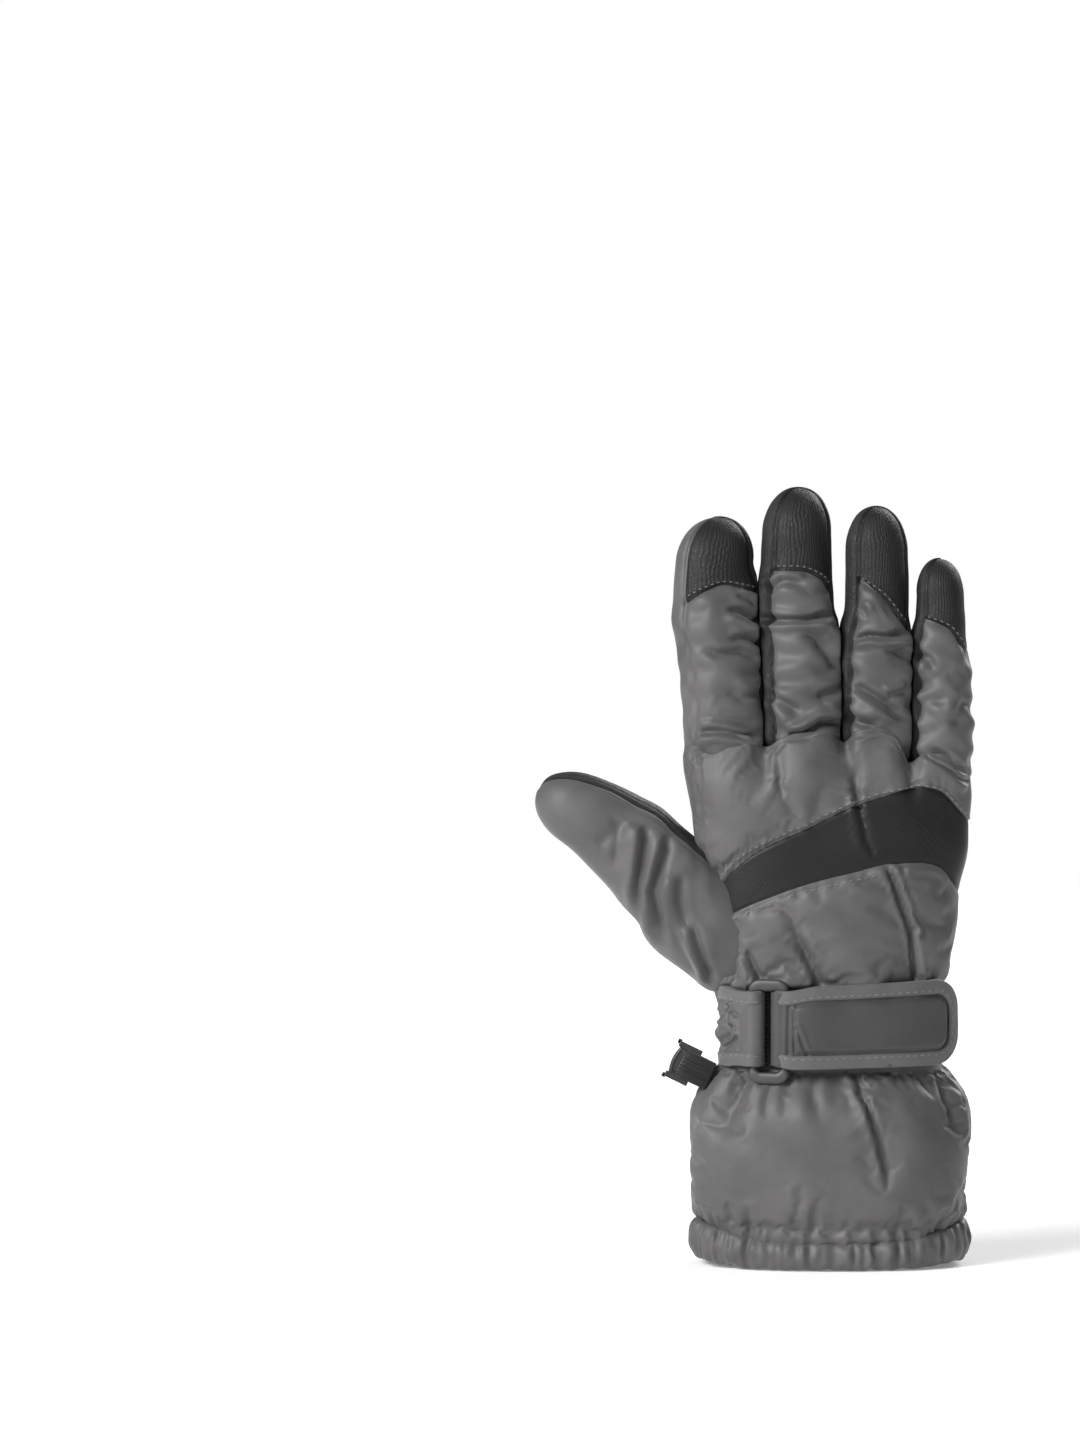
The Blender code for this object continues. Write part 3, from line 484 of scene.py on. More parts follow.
def leather(name, col, rough=0.47, grain=1.0, bump=0.6, wavy=1.0, wander=6.5, spec=0.38):
    """Synthetic leather with an embossed grain of short wavy ridges over fine pebbles."""
    mat = bpy.data.materials.new(name)
    nt, N, L, bs = nodes_of(mat)
    uv = new(nt, "ShaderNodeUVMap", -1500, 0, uv_map="grain")
    dist = new(nt, "ShaderNodeTexNoise", -1300, -200)
    dist.inputs["Scale"].default_value = 0.16
    dist.inputs["Detail"].default_value = 3
    L.new(uv.outputs[0], dist.inputs["Vector"])
    wv = new(nt, "ShaderNodeTexWave", -1000, 0)
    wv.wave_type = "BANDS"
    wv.bands_direction = "X"
    wv.inputs["Scale"].default_value = 0.19 / grain
    wv.inputs["Distortion"].default_value = wander
    wv.inputs["Detail"].default_value = 1.5
    wv.inputs["Detail Scale"].default_value = 0.30
    wv.inputs["Detail Roughness"].default_value = 0.62
    L.new(uv.outputs[0], wv.inputs["Vector"])
    vor = new(nt, "ShaderNodeTexVoronoi", -1000, -350)
    vor.feature = "DISTANCE_TO_EDGE"
    vor.inputs["Scale"].default_value = 0.95 / grain
    vs = new(nt, "ShaderNodeVectorMath", -1200, -350, operation="MULTIPLY")
    vs.inputs[1].default_value = (1.6, 0.8, 1)
    L.new(uv.outputs[0], vs.inputs[0])
    va = new(nt, "ShaderNodeVectorMath", -1100, -350, operation="MULTIPLY_ADD")
    L.new(dist.outputs["Color"], va.inputs[0]); va.inputs[1].default_value = (2.2, 2.2, 0)
    L.new(vs.outputs[0], va.inputs[2])
    L.new(va.outputs[0], vor.inputs["Vector"])
    vr = new(nt, "ShaderNodeMapRange", -800, -350)
    vr.inputs["From Max"].default_value = 0.22
    L.new(vor.outputs["Distance"], vr.inputs["Value"])
    geo = new(nt, "ShaderNodeTexCoord", -1500, -700)
    big = new(nt, "ShaderNodeTexNoise", -1000, -700)
    big.inputs["Scale"].default_value = 45
    big.inputs["Detail"].default_value = 4
    L.new(geo.outputs["Object"], big.inputs["Vector"])
    ramp = new(nt, "ShaderNodeMapRange", -800, -700)
    ramp.inputs["From Min"].default_value = 0.3
    ramp.inputs["From Max"].default_value = 0.7
    ramp.inputs["To Min"].default_value = 0.82
    ramp.inputs["To Max"].default_value = 1.22
    L.new(big.outputs["Fac"], ramp.inputs["Value"])
    vm = new(nt, "ShaderNodeVectorMath", -600, -600, operation="SCALE")
    vm.inputs[0].default_value = col[:3]
    L.new(ramp.outputs["Result"], vm.inputs["Scale"])
    L.new(vm.outputs[0], bs.inputs["Base Color"])
    rr = new(nt, "ShaderNodeMapRange", -600, -350)
    rr.inputs["To Min"].default_value = rough + 0.16
    rr.inputs["To Max"].default_value = rough - 0.04
    L.new(vr.outputs["Result"], rr.inputs["Value"])
    L.new(rr.outputs["Result"], bs.inputs["Roughness"])
    b1 = new(nt, "ShaderNodeBump", -450, 0)
    b1.inputs["Strength"].default_value = bump * wavy
    b1.inputs["Distance"].default_value = 0.00035
    L.new(wv.outputs["Fac"], b1.inputs["Height"])
    b2 = new(nt, "ShaderNodeBump", -250, 0)
    b2.inputs["Strength"].default_value = bump
    b2.inputs["Distance"].default_value = 0.00022
    L.new(vr.outputs["Result"], b2.inputs["Height"])
    L.new(b1.outputs[0], b2.inputs["Normal"])
    L.new(b2.outputs[0], bs.inputs["Normal"])
    bs.inputs["Specular IOR Level"].default_value = spec
    return mat


def plastic(name, col, rough=0.38):
    mat = bpy.data.materials.new(name)
    nt, N, L, bs = nodes_of(mat)
    geo = new(nt, "ShaderNodeTexCoord", -900, 0)
    no = new(nt, "ShaderNodeTexNoise", -700, 0)
    no.inputs["Scale"].default_value = 900
    no.inputs["Detail"].default_value = 2
    L.new(geo.outputs["Object"], no.inputs["Vector"])
    mr = new(nt, "ShaderNodeMapRange", -500, 0)
    mr.inputs["To Min"].default_value = rough - 0.05
    mr.inputs["To Max"].default_value = rough + 0.1
    L.new(no.outputs["Fac"], mr.inputs["Value"])
    L.new(mr.outputs["Result"], bs.inputs["Roughness"])
    b = new(nt, "ShaderNodeBump", -300, -200)
    b.inputs["Strength"].default_value = 0.15
    b.inputs["Distance"].default_value = 0.0001
    L.new(no.outputs["Fac"], b.inputs["Height"])
    L.new(b.outputs[0], bs.inputs["Normal"])
    bs.inputs["Base Color"].default_value = (*col[:3], 1)
    return mat


def fuzzy(name, col, scale=900, rough=0.9):
    """Fleece, hooks or loops: short fibres as strong fine bumps."""
    mat = bpy.data.materials.new(name)
    nt, N, L, bs = nodes_of(mat)
    geo = new(nt, "ShaderNodeTexCoord", -900, 0)
    no = new(nt, "ShaderNodeTexVoronoi", -700, 0)
    no.inputs["Scale"].default_value = scale
    L.new(geo.outputs["Object"], no.inputs["Vector"])
    n2 = new(nt, "ShaderNodeTexNoise", -700, -300)
    n2.inputs["Scale"].default_value = 300
    n2.inputs["Detail"].default_value = 4
    L.new(geo.outputs["Object"], n2.inputs["Vector"])
    mr = new(nt, "ShaderNodeMapRange", -500, -300)
    mr.inputs["To Min"].default_value = 0.6
    mr.inputs["To Max"].default_value = 1.5
    L.new(n2.outputs["Fac"], mr.inputs["Value"])
    vm = new(nt, "ShaderNodeVectorMath", -350, -300, operation="SCALE")
    vm.inputs[0].default_value = col[:3]
    L.new(mr.outputs["Result"], vm.inputs["Scale"])
    L.new(vm.outputs[0], bs.inputs["Base Color"])
    b = new(nt, "ShaderNodeBump", -300, 0)
    b.inputs["Strength"].default_value = 0.8
    b.inputs["Distance"].default_value = 0.0005
    L.new(no.outputs["Distance"], b.inputs["Height"])
    L.new(b.outputs[0], bs.inputs["Normal"])
    bs.inputs["Roughness"].default_value = rough
    bs.inputs["Sheen Weight"].default_value = 0.5
    return mat


M = dict(
    satin=fabric("satin_grey", (0.080, 0.077, 0.078), rough=0.53, sheen=0.10, var=0.24, spec=0.34, bump=0.05, weave=0.85, crinkle=0.35),
    band=fabric("band_dark", (0.0145, 0.0145, 0.0155), rough=0.44, sheen=0.03, var=0.18, spec=0.16, bump=0.0, weave=0.95),
    leather=leather("leather_dark", (0.0185, 0.018, 0.018), wavy=0.30, bump=0.55, wander=12.0, spec=0.32),
    cap=leather("leather_cap", (0.0125, 0.012, 0.0125), grain=1.0, bump=0.32, wavy=0.9, wander=14.0, spec=0.26),
    strap=fabric("strap_grey", (0.046, 0.0445, 0.0455), rough=0.5, weave=0.8, bump=0.15, sheen=0.08, var=0.10),
    binding=fabric("binding_grey", (0.092, 0.0895, 0.090), rough=0.5, weave=0.7, bump=0.5, sheen=0.25, var=0.06),
    webbing=fabric("webbing_black", (0.013, 0.013, 0.014), rough=0.6, weave=0.7, bump=0.8, ribs=1, rib_step=1.5, sheen=0.2),
    plastic=plastic("plastic_dark", (0.019, 0.019, 0.0205)),
    ringp=plastic("plastic_ring", (0.038, 0.037, 0.038), rough=0.42),
    thread=fabric("thread_grey", (0.155, 0.15, 0.15), rough=0.6, weave=0.3, bump=0.3, var=0.05),
    threadk=fabric("thread_dark", (0.03, 0.03, 0.031), rough=0.6, weave=0.3, bump=0.3, var=0.05),
    fleece=fuzzy("fleece_black", (0.018, 0.018, 0.02), 700),
    hook=fuzzy("hook_black", (0.014, 0.014, 0.015), 1500, 0.7),
    elastic=fabric("elastic_black", (0.02, 0.02, 0.02), rough=0.7, weave=0.8, bump=0.8, ribs=2, rib_step=1.2),
)


def finish_piece(ob, body, nodes):
    if isinstance(body, tuple):
        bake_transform(ob)
    else:
        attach(ob, body)
    if nodes:
        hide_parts(*nodes)
    return ob


def m3(x, y, z):
    return ((x + SX) * 0.001, y * 0.001, z * 0.001)


# ============================================================================
# Fingers
# ============================================================================
FRONT = {   # fold lines seen from the back, in mm across and up: points, depth, width, onesided
    "index": [([(-27.5, 217.0), (-34.0, 219.5), (-41.0, 218.6), (-46.0, 221.0)], 1.3, 1.5, 1),
              ([(-27.0, 229.5), (-33.0, 233.5), (-38.0, 235.0)], 1.5, 1.4, -1),
              ([(-27.0, 221.5), (-32.0, 224.5), (-37.5, 224.0)], 1.3, 1.3, 1),
              ([(-28.5, 236.0), (-31.0, 238.5), (-35.0, 240.0)], 1.0, 1.1, 1),
              ([(-26.5, 205.0), (-33.0, 203.0), (-38.0, 206.5)], 0.9, 1.8, 1),
              ([(-48.0, 190.6), (-40.0, 191.2), (-32.0, 189.4), (-25.5, 190.0)], 1.35, 1.3, 0),
              ([(-43.0, 195.2), (-36.0, 194.6), (-29.0, 193.0)], 0.5, 1.3, 0)],
    "middle": [([(-23.5, 231.5), (-16.0, 230.8), (-7.0, 231.2), (1.0, 234.0)], 1.9, 1.2, 1),
               ([(0.5, 213.0), (-3.0, 219.0), (-5.5, 224.0), (-11.0, 227.5)], 1.7, 1.8, 1),
               ([(-22.0, 240.5), (-17.0, 244.6), (-9.0, 243.4)], 1.2, 1.5, -1),
               ([(-21.0, 205.0), (-15.0, 200.5), (-11.0, 197.0)], 1.2, 1.6, 1),
               ([(-15.0, 189.0), (-9.5, 190.6), (-5.0, 194.2), (2.5, 194.6)], 2.2, 1.3, -1),
               ([(-6.0, 203.0), (-1.0, 206.0), (2.0, 209.5)], 1.1, 1.5, 1)],
    "ring": [([(8.5, 223.6), (14.0, 225.2), (20.0, 224.6), (26.5, 227.6)], 1.9, 1.2, 1),
             ([(9.0, 208.0), (14.0, 204.5), (19.0, 200.8), (24.5, 194.8)], 1.7, 1.6, 1),
             ([(25.8, 217.0), (22.0, 220.0), (17.5, 221.5)], 1.2, 1.3, 1),
             ([(6.0, 199.0), (10.0, 194.5), (16.5, 193.0)], 1.5, 1.5, -1),
             ([(13.0, 232.0), (9.5, 236.0)], 1.0, 1.2, 1),
             ([(19.0, 203.5), (25.0, 205.5)], 0.9, 1.2, -1)],
    "little": [([(31.5, 219.8), (36.0, 217.0), (37.0, 212.0)], 1.1, 1.3, 1),
               ([(48.5, 202.5), (45.5, 199.5), (44.0, 195.5), (46.0, 192.0)], 0.9, 1.7, 1),
               ([(35.5, 184.5), (41.0, 182.0), (46.0, 178.0), (51.0, 175.5)], 2.0, 1.4, 1),
               ([(31.0, 200.0), (36.0, 202.5), (41.0, 201.5)], 0.8, 1.6, 1),
               ([(47.5, 213.0), (44.0, 209.5), (40.5, 209.5)], 0.5, 1.8, -1)],
}


def finger_grid(key, f):
    nj, ni = f["n"]
    rows = np.array(f["rows"])
    zd = rows[-1, 0]
    z_start = rows[0, 0]
    nd = 17                                   # rows in the tip
    u0, u1 = f["seam0"]
    nb = int(round(nj * (u1 - u0) / (2 * math.pi)))
    us = np.concatenate([np.linspace(u0, u1, nb, endpoint=False),
                         np.linspace(u1, u0 + 2 * math.pi, nj - nb, endpoint=False)])
    cap = np.array(f["cap"])
    # height of the cap seam at each column
    cx, hw, hd, cy = pchip(rows, np.full(nj, cap[:, 1].mean()))
    xs = cx + hw * sp(np.cos(us), 2.25)
    zc_back = pchip(cap, xs)[0]
    backness = smooth(-0.35, 0.25, np.sin(us))
    zc = backness * zc_back + (1 - backness) * cap[:, 1].mean()
    jr = np.arange(ni)
    ic = int(round(ni * (cap[:, 1].mean() - z_start) / (zd - z_start)))
    t = jr / (ni - 1)
    Z = np.where(jr[:, None] <= ic, z_start + (zc[None] - z_start) * (jr[:, None] / ic),
                 zc[None] + (zd - zc[None]) * ((jr[:, None] - ic) / max(1, ni - 1 - ic)))
    U = np.broadcast_to(us[None], Z.shape)
    cx, hw, hd, cy = pchip(rows, Z)
    P = np.stack([cx + hw * sp(np.cos(U), 2.25), cy - hd * sp(np.sin(U), 2.25), Z], -1)
    tx, tz, ty = f["tip"]
    _, cx1, hw1, hd1, cy1 = rows[-1]
    dome = []
    for k in range(1, nd + 1):
        phi = (k / (nd + 0.25)) * math.pi / 2
        s, c = math.sin(phi), math.cos(phi) ** 0.95
        dome.append(np.stack([cx1 + (tx - cx1) * s + hw1 * c * sp(np.cos(us), 2.25),
                              cy1 + (ty - cy1) * s - hd1 * c * sp(np.sin(us), 2.25),
                              np.full(nj, zd + (tz - zd) * s)], -1))
    P = np.concatenate([P, np.stack(dome)], 0)
    return P, us, nb, ic, ni, nd


def arc_uv(P):
    """Grain coordinates in mm: across from the arc length, along from the height travelled."""
    du = np.linalg.norm(np.diff(np.concatenate([P, P[:, :1]], 1), axis=1), axis=-1)
    a = np.concatenate([np.zeros((P.shape[0], 1)), np.cumsum(du, 1)[:, :-1]], 1)
    a = np.repeat(a[len(a) // 3][None], len(a), 0)
    dv = np.linalg.norm(np.diff(P, axis=0), axis=-1)
    v = np.concatenate([np.zeros((1, P.shape[1])), np.cumsum(dv, 0)], 0)
    return np.stack([a, v], -1)


SPLITS = {   # where neighbouring fingers press against each other: points of X by height
    "index_middle": [(160.0, -24.4), (194.0, -24.1), (212.0, -24.7), (226.0, -25.6), (240.0, -26.0), (250.0, -25.6)],
    "middle_ring": [(160.0, 3.7), (194.0, 3.8), (212.0, 3.6), (228.0, 3.4), (244.0, 3.2), (254.0, 3.4)],
    "ring_little": [(160.0, 28.9), (187.0, 28.8), (205.0, 28.9), (215.0, 29.2), (228.0, 29.4), (240.0, 29.6)]}
SIDES = {"index": (None, "index_middle"), "middle": ("index_middle", "middle_ring"),
         "ring": ("middle_ring", "ring_little"), "little": ("ring_little", None)}
CONTACT_TOP = {"index_middle": 246.0, "middle_ring": 230.0, "ring_little": 227.5}
CONTACT_GAP = 0.04


def press_sides(key, P):
    """Swells a finger's sides until they meet the neighbour at a flat patch."""
    lo, hi = SIDES[key]
    X, Y, Z = P[..., 0], P[..., 1], P[..., 2]
    c = X.mean(1, keepdims=True)
    hwx = np.abs(X - c).max(1, keepdims=True)
    for name, sg in ((lo, -1), (hi, 1)):
        if name is None:
            continue
        lim = pchip(SPLITS[name], Z)[0] - sg * CONTACT_GAP
        reach = 1 - smooth(CONTACT_TOP[name] - 6.0, CONTACT_TOP[name] + 6.0, Z)
        side = np.clip(sg * (X - c) / hwx, 0, 1) ** 1.3
        X = X + sg * 3.1 * side * reach
        over = sg * (X - lim)
        X = np.where(over > -0.8, lim + sg * (-0.8 * np.exp(-np.clip(over + 0.8, 0, 50) / 0.8) * 1.0), X)
    Q = P.copy()
    Q[..., 0] = X
    return Q


def round_tip(G, rows):
    """Evens out the last rows of a tip, so they close in one smooth dome."""
    for k in range(10):
        A = G.copy()
        m = (G[-rows - 1:-1] * 2 + G[-rows - 2:-2] + np.concatenate([G[-rows:]], 0)
             + np.roll(G[-rows - 1:-1], 1, 1) + np.roll(G[-rows - 1:-1], -1, 1)) / 6.0
        w = np.linspace(0, 1, rows)[:, None, None]
        A[-rows - 1:-1] = G[-rows - 1:-1] * (1 - 0.6 * w) + m * 0.6 * w
        c = G[-1].mean(0)
        A[-1] = c + (G[-1] - c) * 0.96
        G = A
    return G


def build_finger(key, f):
    P, us, nb, ic, ni, nd = finger_grid(key, f)
    N = outward(P, normals(P))
    nr, nj = P.shape[:2]
    X, Y, Z = P[..., 0], P[..., 1], P[..., 2]
    col = np.arange(nj)[None]
    row = np.arange(nr)[:, None]
    # distances from the long seams, in columns
    s0 = np.minimum(col, nj - col)
    s1 = np.abs(col - nb)
    back = (col <= nb)
    across = np.clip(col / nb, 0, 1)
    # stuffing between the seams
    grey = back & (row <= ic)
    puff = np.where(grey, np.sin(math.pi * across) ** 0.55 * 1.15, 0)
    puff = puff * smooth(0, 5, ic - row)
    d = puff - 0.6
    d = np.where(~back, -0.1, d)
    seamline = gauss(s0 / 1.2) + gauss(s1 / 1.2)
    d = d - 0.55 * seamline * (row < ni + nd - 2)
    edge_l = int(np.argmin(np.abs(us[:nb] + 0.34))) if key == "little" else 0
    edge_r = int(round(nb * (f["strip"] - us[0]) / (us[nb] - us[0]))) if "strip" in f else nb
    capf = smooth(edge_l - 2, edge_l + 2, col) * smooth(edge_r + 2, edge_r - 2, col) if edge_r < nb or edge_l > 0 else 1.0
    d = d - 0.7 * gauss((row - ic) / 1.3) * smooth(-1, 3, col) * smooth(-1, 3, nb - col) * capf
    quiet = {"little": 1 - smooth(8, 16, s0), "index": 1 - smooth(8, 14, s1)}.get(key, 0.0)
    for pts, dep, wid, one in FRONT[key]:
        d = d + crease(P, N, True, pts, dep * (1.3 if key != "little" else 1.0), wid, 0.45, one) * (1 - 0.65 * quiet)
    # puckers along the long seams
    ph = rng.uniform(0, 6.28, 2)
    k0 = 0.35 if key == "little" else 0.85
    k1 = 0.35 if key == "index" else 0.85
    ripple = k0 * (0.55 * np.sin(row * 0.50 + ph[0] + 2.2 * np.sin(row * 0.17)) + 0.16 * np.sin(row * 1.07 + ph[1])) * gauss(s0 / 4.5) * (col <= nb) \
        + k1 * (0.55 * np.sin(row * 0.46 + ph[1] + 2.2 * np.sin(row * 0.21)) + 0.16 * np.sin(row * 0.98 + ph[0])) * gauss(s1 / 4.5) * (col <= nb)
    d = d + ripple * (row < ic - 1) * smooth(2, 8, row)
    wv = Waves(11 + len(key), 17.0, aniso=(1, 1, 1.5))
    d = d + 0.42 * wv(P) * np.where(grey, 1.0, 0.12) * (1 - 0.8 * quiet)
    if "strip" in f:
        js = int(round(nb * (f["strip"] - us[0]) / (us[nb] - us[0])))
        d = d - 0.7 * gauss((col - js) / 1.1) + 0.10 * np.sin(row * 0.5 + 1.0) * gauss((col - js) / 3.5)
    # the root goes in under the hand's edge
    zr = {"index": 189.0, "middle": 190.0, "ring": 190.5, "little": 182.5 - 0.45 * (X - 39.8)}[key]
    outer = {"index": np.clip(-N[..., 0], 0, 1), "little": np.clip(N[..., 0], 0, 1)}.get(key, 0.0)
    d = d - 3.2 * (1 - smooth(zr - 9.0, zr - 0.5, Z)) * np.clip(smooth(0.15, 0.7, -N[..., 1]) + outer * smooth(-0.6, 0.0, -N[..., 1]), 0, 1)
    P1 = P + N * d[..., None]
    # what is sewn doesn't move
    pin = np.maximum.reduce([gauss(s0 / 0.9) * np.ones_like(X), gauss(s1 / 0.9) * np.ones_like(X),
                             gauss((row - ic) / 1.0) * (back * 1.0),
                             (row < 3) * np.ones_like(X)])
    hold = np.zeros_like(X)
    if "strip" in f:
        pin = np.maximum(pin, 0.9 * gauss((col - js) / 0.9) * np.ones_like(X))
    for pts, dep, wid, one in FRONT[key]:
        D, A, S = seg_dist(X, Z, pts)
        hold = np.maximum(hold, gauss(D / 1.3) * (N[..., 1] < -0.1) * 0.75 * smooth(0, 0.1, A) * (1 - smooth(0.85, 1, A)))
    pin = np.clip(np.maximum(pin, hold), 0, 1)
    pin = np.maximum(pin, np.where(~back, 0.55, 0.0))
    pin = np.maximum(pin, np.where(back & (row > ic), 0.60, 0.0))
    pin = np.maximum(pin, 0.8 * smooth(ni - 2, ni + nd - 4, row) * np.ones_like(X))
    P2 = simulate(P1, pin, pressure=2.2, grow=0.045, frames=14, bend=0.35)
    firm = np.maximum(np.where(back & (row > ic), 1.0, 0.0), np.where(~back, 0.8, 0.12))
    firm = np.maximum(firm, smooth(ni - 6, ni + 2, row) * np.ones_like(X))
    if "strip" in f:
        firm = np.maximum(firm, 0.85 * smooth(js - 3, js, col) * np.ones_like(X) * (col <= nb))
    firm = np.maximum(firm, 0.95 * quiet * np.ones_like(X))
    P2 = calm(P1, P2, firm, 14)
    P2 = calm(P1, P2, 0.9 * quiet * np.ones_like(X), 60)
    G = up(press_sides(key, P2))
    N2 = outward(G, normals(G))
    # palm-side seams of the leather: outline of the palm piece
    Xg, Zg = G[..., 0], G[..., 2]
    u2 = np.interp(np.arange(nj * 2) / 2.0, np.arange(nj + 1), np.concatenate([us, [us[0] + 2 * math.pi]]))
    uu = (u2[None] + 0 * Xg) % (2 * math.pi)
    top = f["tip"][1] - 7.5
    cx = G[..., 0].mean(1)[:, None]
    ang = uu - 1.5 * math.pi                      # 0 in the middle of the palm side
    halfw = 0.98 * np.sqrt(np.clip((top - Zg) / 14.0, 0, 1))
    edge = np.abs(np.abs(ang) - halfw) * 12.0
    edge = np.where(Zg > top, np.hypot(edge * 0 + np.abs(ang) * 12.0, Zg - top), edge)
    palm = (np.cos(ang) > 0.0) & (np.abs(ang) < 1.9)
    g = -0.85 * gauss(edge / 0.75) + 0.35 * gauss((edge - 1.7) / 1.0)
    inside = (np.abs(ang) < halfw) & (Zg < top)
    g = g + np.where(inside, 0.35 * np.clip(edge / 4.0, 0, 1), 0)
    G = G + N2 * (g * palm * smooth(178, 186, Zg))[..., None]
    # sharp grooves at the seams
    c2 = np.arange(nj * 2)[None]
    r2 = np.arange(G.shape[0])[:, None]
    q0 = np.minimum(c2, nj * 2 - c2)
    q1 = np.abs(c2 - 2 * nb)
    tipfade = smooth(0, 8, (G.shape[0] - 1 - r2))
    g2 = -0.45 * (gauss(q0 / 1.1) + gauss(q1 / 1.1)) * tipfade
    on_cap = (c2 <= 2 * nb) * (1.0 if edge_l == 0 else smooth(2 * edge_l - 4, 2 * edge_l + 2, c2)) * (1.0 if edge_r == nb else smooth(2 * edge_r + 4, 2 * edge_r - 2, c2))
    g2 = g2 - 0.55 * gauss((r2 - 2 * ic) / 1.2) * on_cap + 0.3 * gauss((r2 - 2 * ic - 3.2) / 1.6) * on_cap
    G = G + N2 * g2[..., None]
    js2 = None
    if "strip" in f:
        js2 = 2 * js
        G = G - N2 * (0.45 * gauss((c2 - js2) / 1.0) * tipfade)[..., None]
    G = round_tip(G, 11)
    return dict(P=G, N=outward(G, normals(G)), uv=arc_uv(G), nb=2 * nb, ic=2 * ic, nj=2 * nj, us=u2, js=js2)


def row_at(G, z):
    """Row whose mean height is nearest z."""
    return int(np.argmin(np.abs(G["P"][..., 2].mean(1) - z)))


def close_tip(G):
    """Adds one last row that meets in a point, so the tip has no hole."""
    P = G["P"]
    c = P[-1].mean(0)
    n = G["N"][-1].mean(0)
    n /= np.linalg.norm(n)
    c = c + n * 0.12
    last = np.broadcast_to(c, P[-1].shape) * 0.995 + P[-1] * 0.005
    G["P"] = np.concatenate([P, last[None]], 0)
    G["N"] = np.concatenate([G["N"], np.broadcast_to(n, P[-1].shape)[None]], 0)
    G["uv"] = np.concatenate([G["uv"], G["uv"][-1:] + 0.3], 0)
    return G


# ============================================================================
# Hand
# ============================================================================
def thumb_side_u(z):
    return math.pi + 0.50 * smooth(150.0, 176.0, z)


def strip_u(z):
    return 0.10 + 0.56 * np.clip((z - 100.0) / 76.0, 0, 1) ** 0.8


HTOP = np.array([(-54, 189.5), (-44, 190.6), (-38, 190.8), (-30, 189.6), (-24.0, 185.8), (-18, 188.8), (-10, 191.0), (-2, 191.2),
                 (3.8, 187.4), (9, 191.4), (16, 192.6), (23, 189.5), (28.7, 180.0), (33, 183.4), (40, 183.0), (46, 179.6), (52, 176.5)])
PTOP = np.array([(-54, 191.0), (-38, 193.5), (-24.0, 189.5), (-10, 195.0), (3.8, 192.0), (16, 195.0), (28.7, 182.0), (40, 187.0), (52, 184.0)])
HAND_FOLDS_BACK = [
    ([(-19.9, 184.0), (-19.2, 176.0), (-17.6, 167.0)], 1.3, 1.1, 1, (0.02, 0.45)),
    ([(4.7, 189.0), (7.4, 174.0), (9.2, 164.5), (12.2, 152.0), (15.6, 144.6)], 1.5, 1.2, 1, (0.02, 0.25)),
    ([(19.4, 143.2), (23.0, 133.0), (27.3, 120.6), (29.3, 102.0)], 1.7, 1.1, -1, (0.05, 0.05)),
    ([(-30.5, 113.0), (-28.5, 109.0), (-25.0, 102.0)], 1.6, 1.5, 1, (0.3, 0.02)),
    ([(-14.0, 123.0), (-12.0, 117.5), (-4.4, 100.6)], 2.1, 1.9, -1, (0.45, 0.02)),
    ([(-18.0, 131.0), (-14.5, 124.0), (-13.0, 118.0)], 0.9, 2.2, 1, (0.3, 0.3)),
    ([(-36.0, 125.5), (-35.5, 112.0), (-33.5, 101.0)], 1.1, 1.8, 1, (0.3, 0.05)),
    ([(13.5, 100.5), (15.0, 108.0), (20.0, 113.5)], 0.9, 1.6, 1, (0.05, 0.4)),
    ([(-48.8, 185.0), (-46.8, 168.0), (-46.0, 156.0)], 0.9, 1.1, 1, (0.1, 0.3)),
    ([(31.0, 184.0), (36.5, 181.8), (43.0, 177.0), (50.0, 172.0)], 1.2, 1.3, 1, (0.1, 0.1)),
    ([(-5.0, 186.0), (-3.0, 172.0), (-6.0, 160.0)], 0.5, 3.0, 0, (0.3, 0.3)),
    ([(23.0, 186.0), (24.5, 178.0), (20.0, 171.0)], 0.8, 2.2, 1, (0.1, 0.4)),
    ([(38.0, 141.0), (38.6, 126.0), (37.4, 108.0)], 0.6, 2.6, 0, (0.3, 0.2)),
    ([(5.0, 138.0), (6.0, 122.0), (4.0, 106.0)], 0.5, 3.2, 0, (0.3, 0.2)),
]
PALM_FOLDS = [
    ([(-24.0, 189.0), (-22.5, 176.0), (-20.0, 160.0)], 0.35, 2.6, 0, (0.02, 0.6)),
    ([(3.8, 191.0), (4.5, 176.0), (3.0, 160.0)], 0.35, 2.6, 0, (0.02, 0.6)),
    ([(28.7, 181.0), (27.5, 168.0), (24.0, 150.0)], 0.35, 2.6, 0, (0.02, 0.6)),
    ([(-46.0, 172.0), (-30.0, 169.0), (0.0, 172.0), (30.0, 166.0), (44.0, 158.0)], 0.9, 3.2, 1, (0.15, 0.2)),
    ([(-34.0, 158.0), (-20.0, 148.0), (-10.0, 132.0), (-8.0, 114.0)], 1.2, 3.0, 1, (0.1, 0.3)),
    ([(36.0, 150.0), (20.0, 143.0), (4.0, 140.0)], 0.7, 3.5, 1, (0.2, 0.4)),
    ([(-42.0, 160.0), (-36.0, 157.0), (-34.5, 140.0), (-33.0, 122.0), (-29.5, 104.0), (-26.0, 92.0)], 1.0, 1.0, 1, (0.05, 0.05)),
]


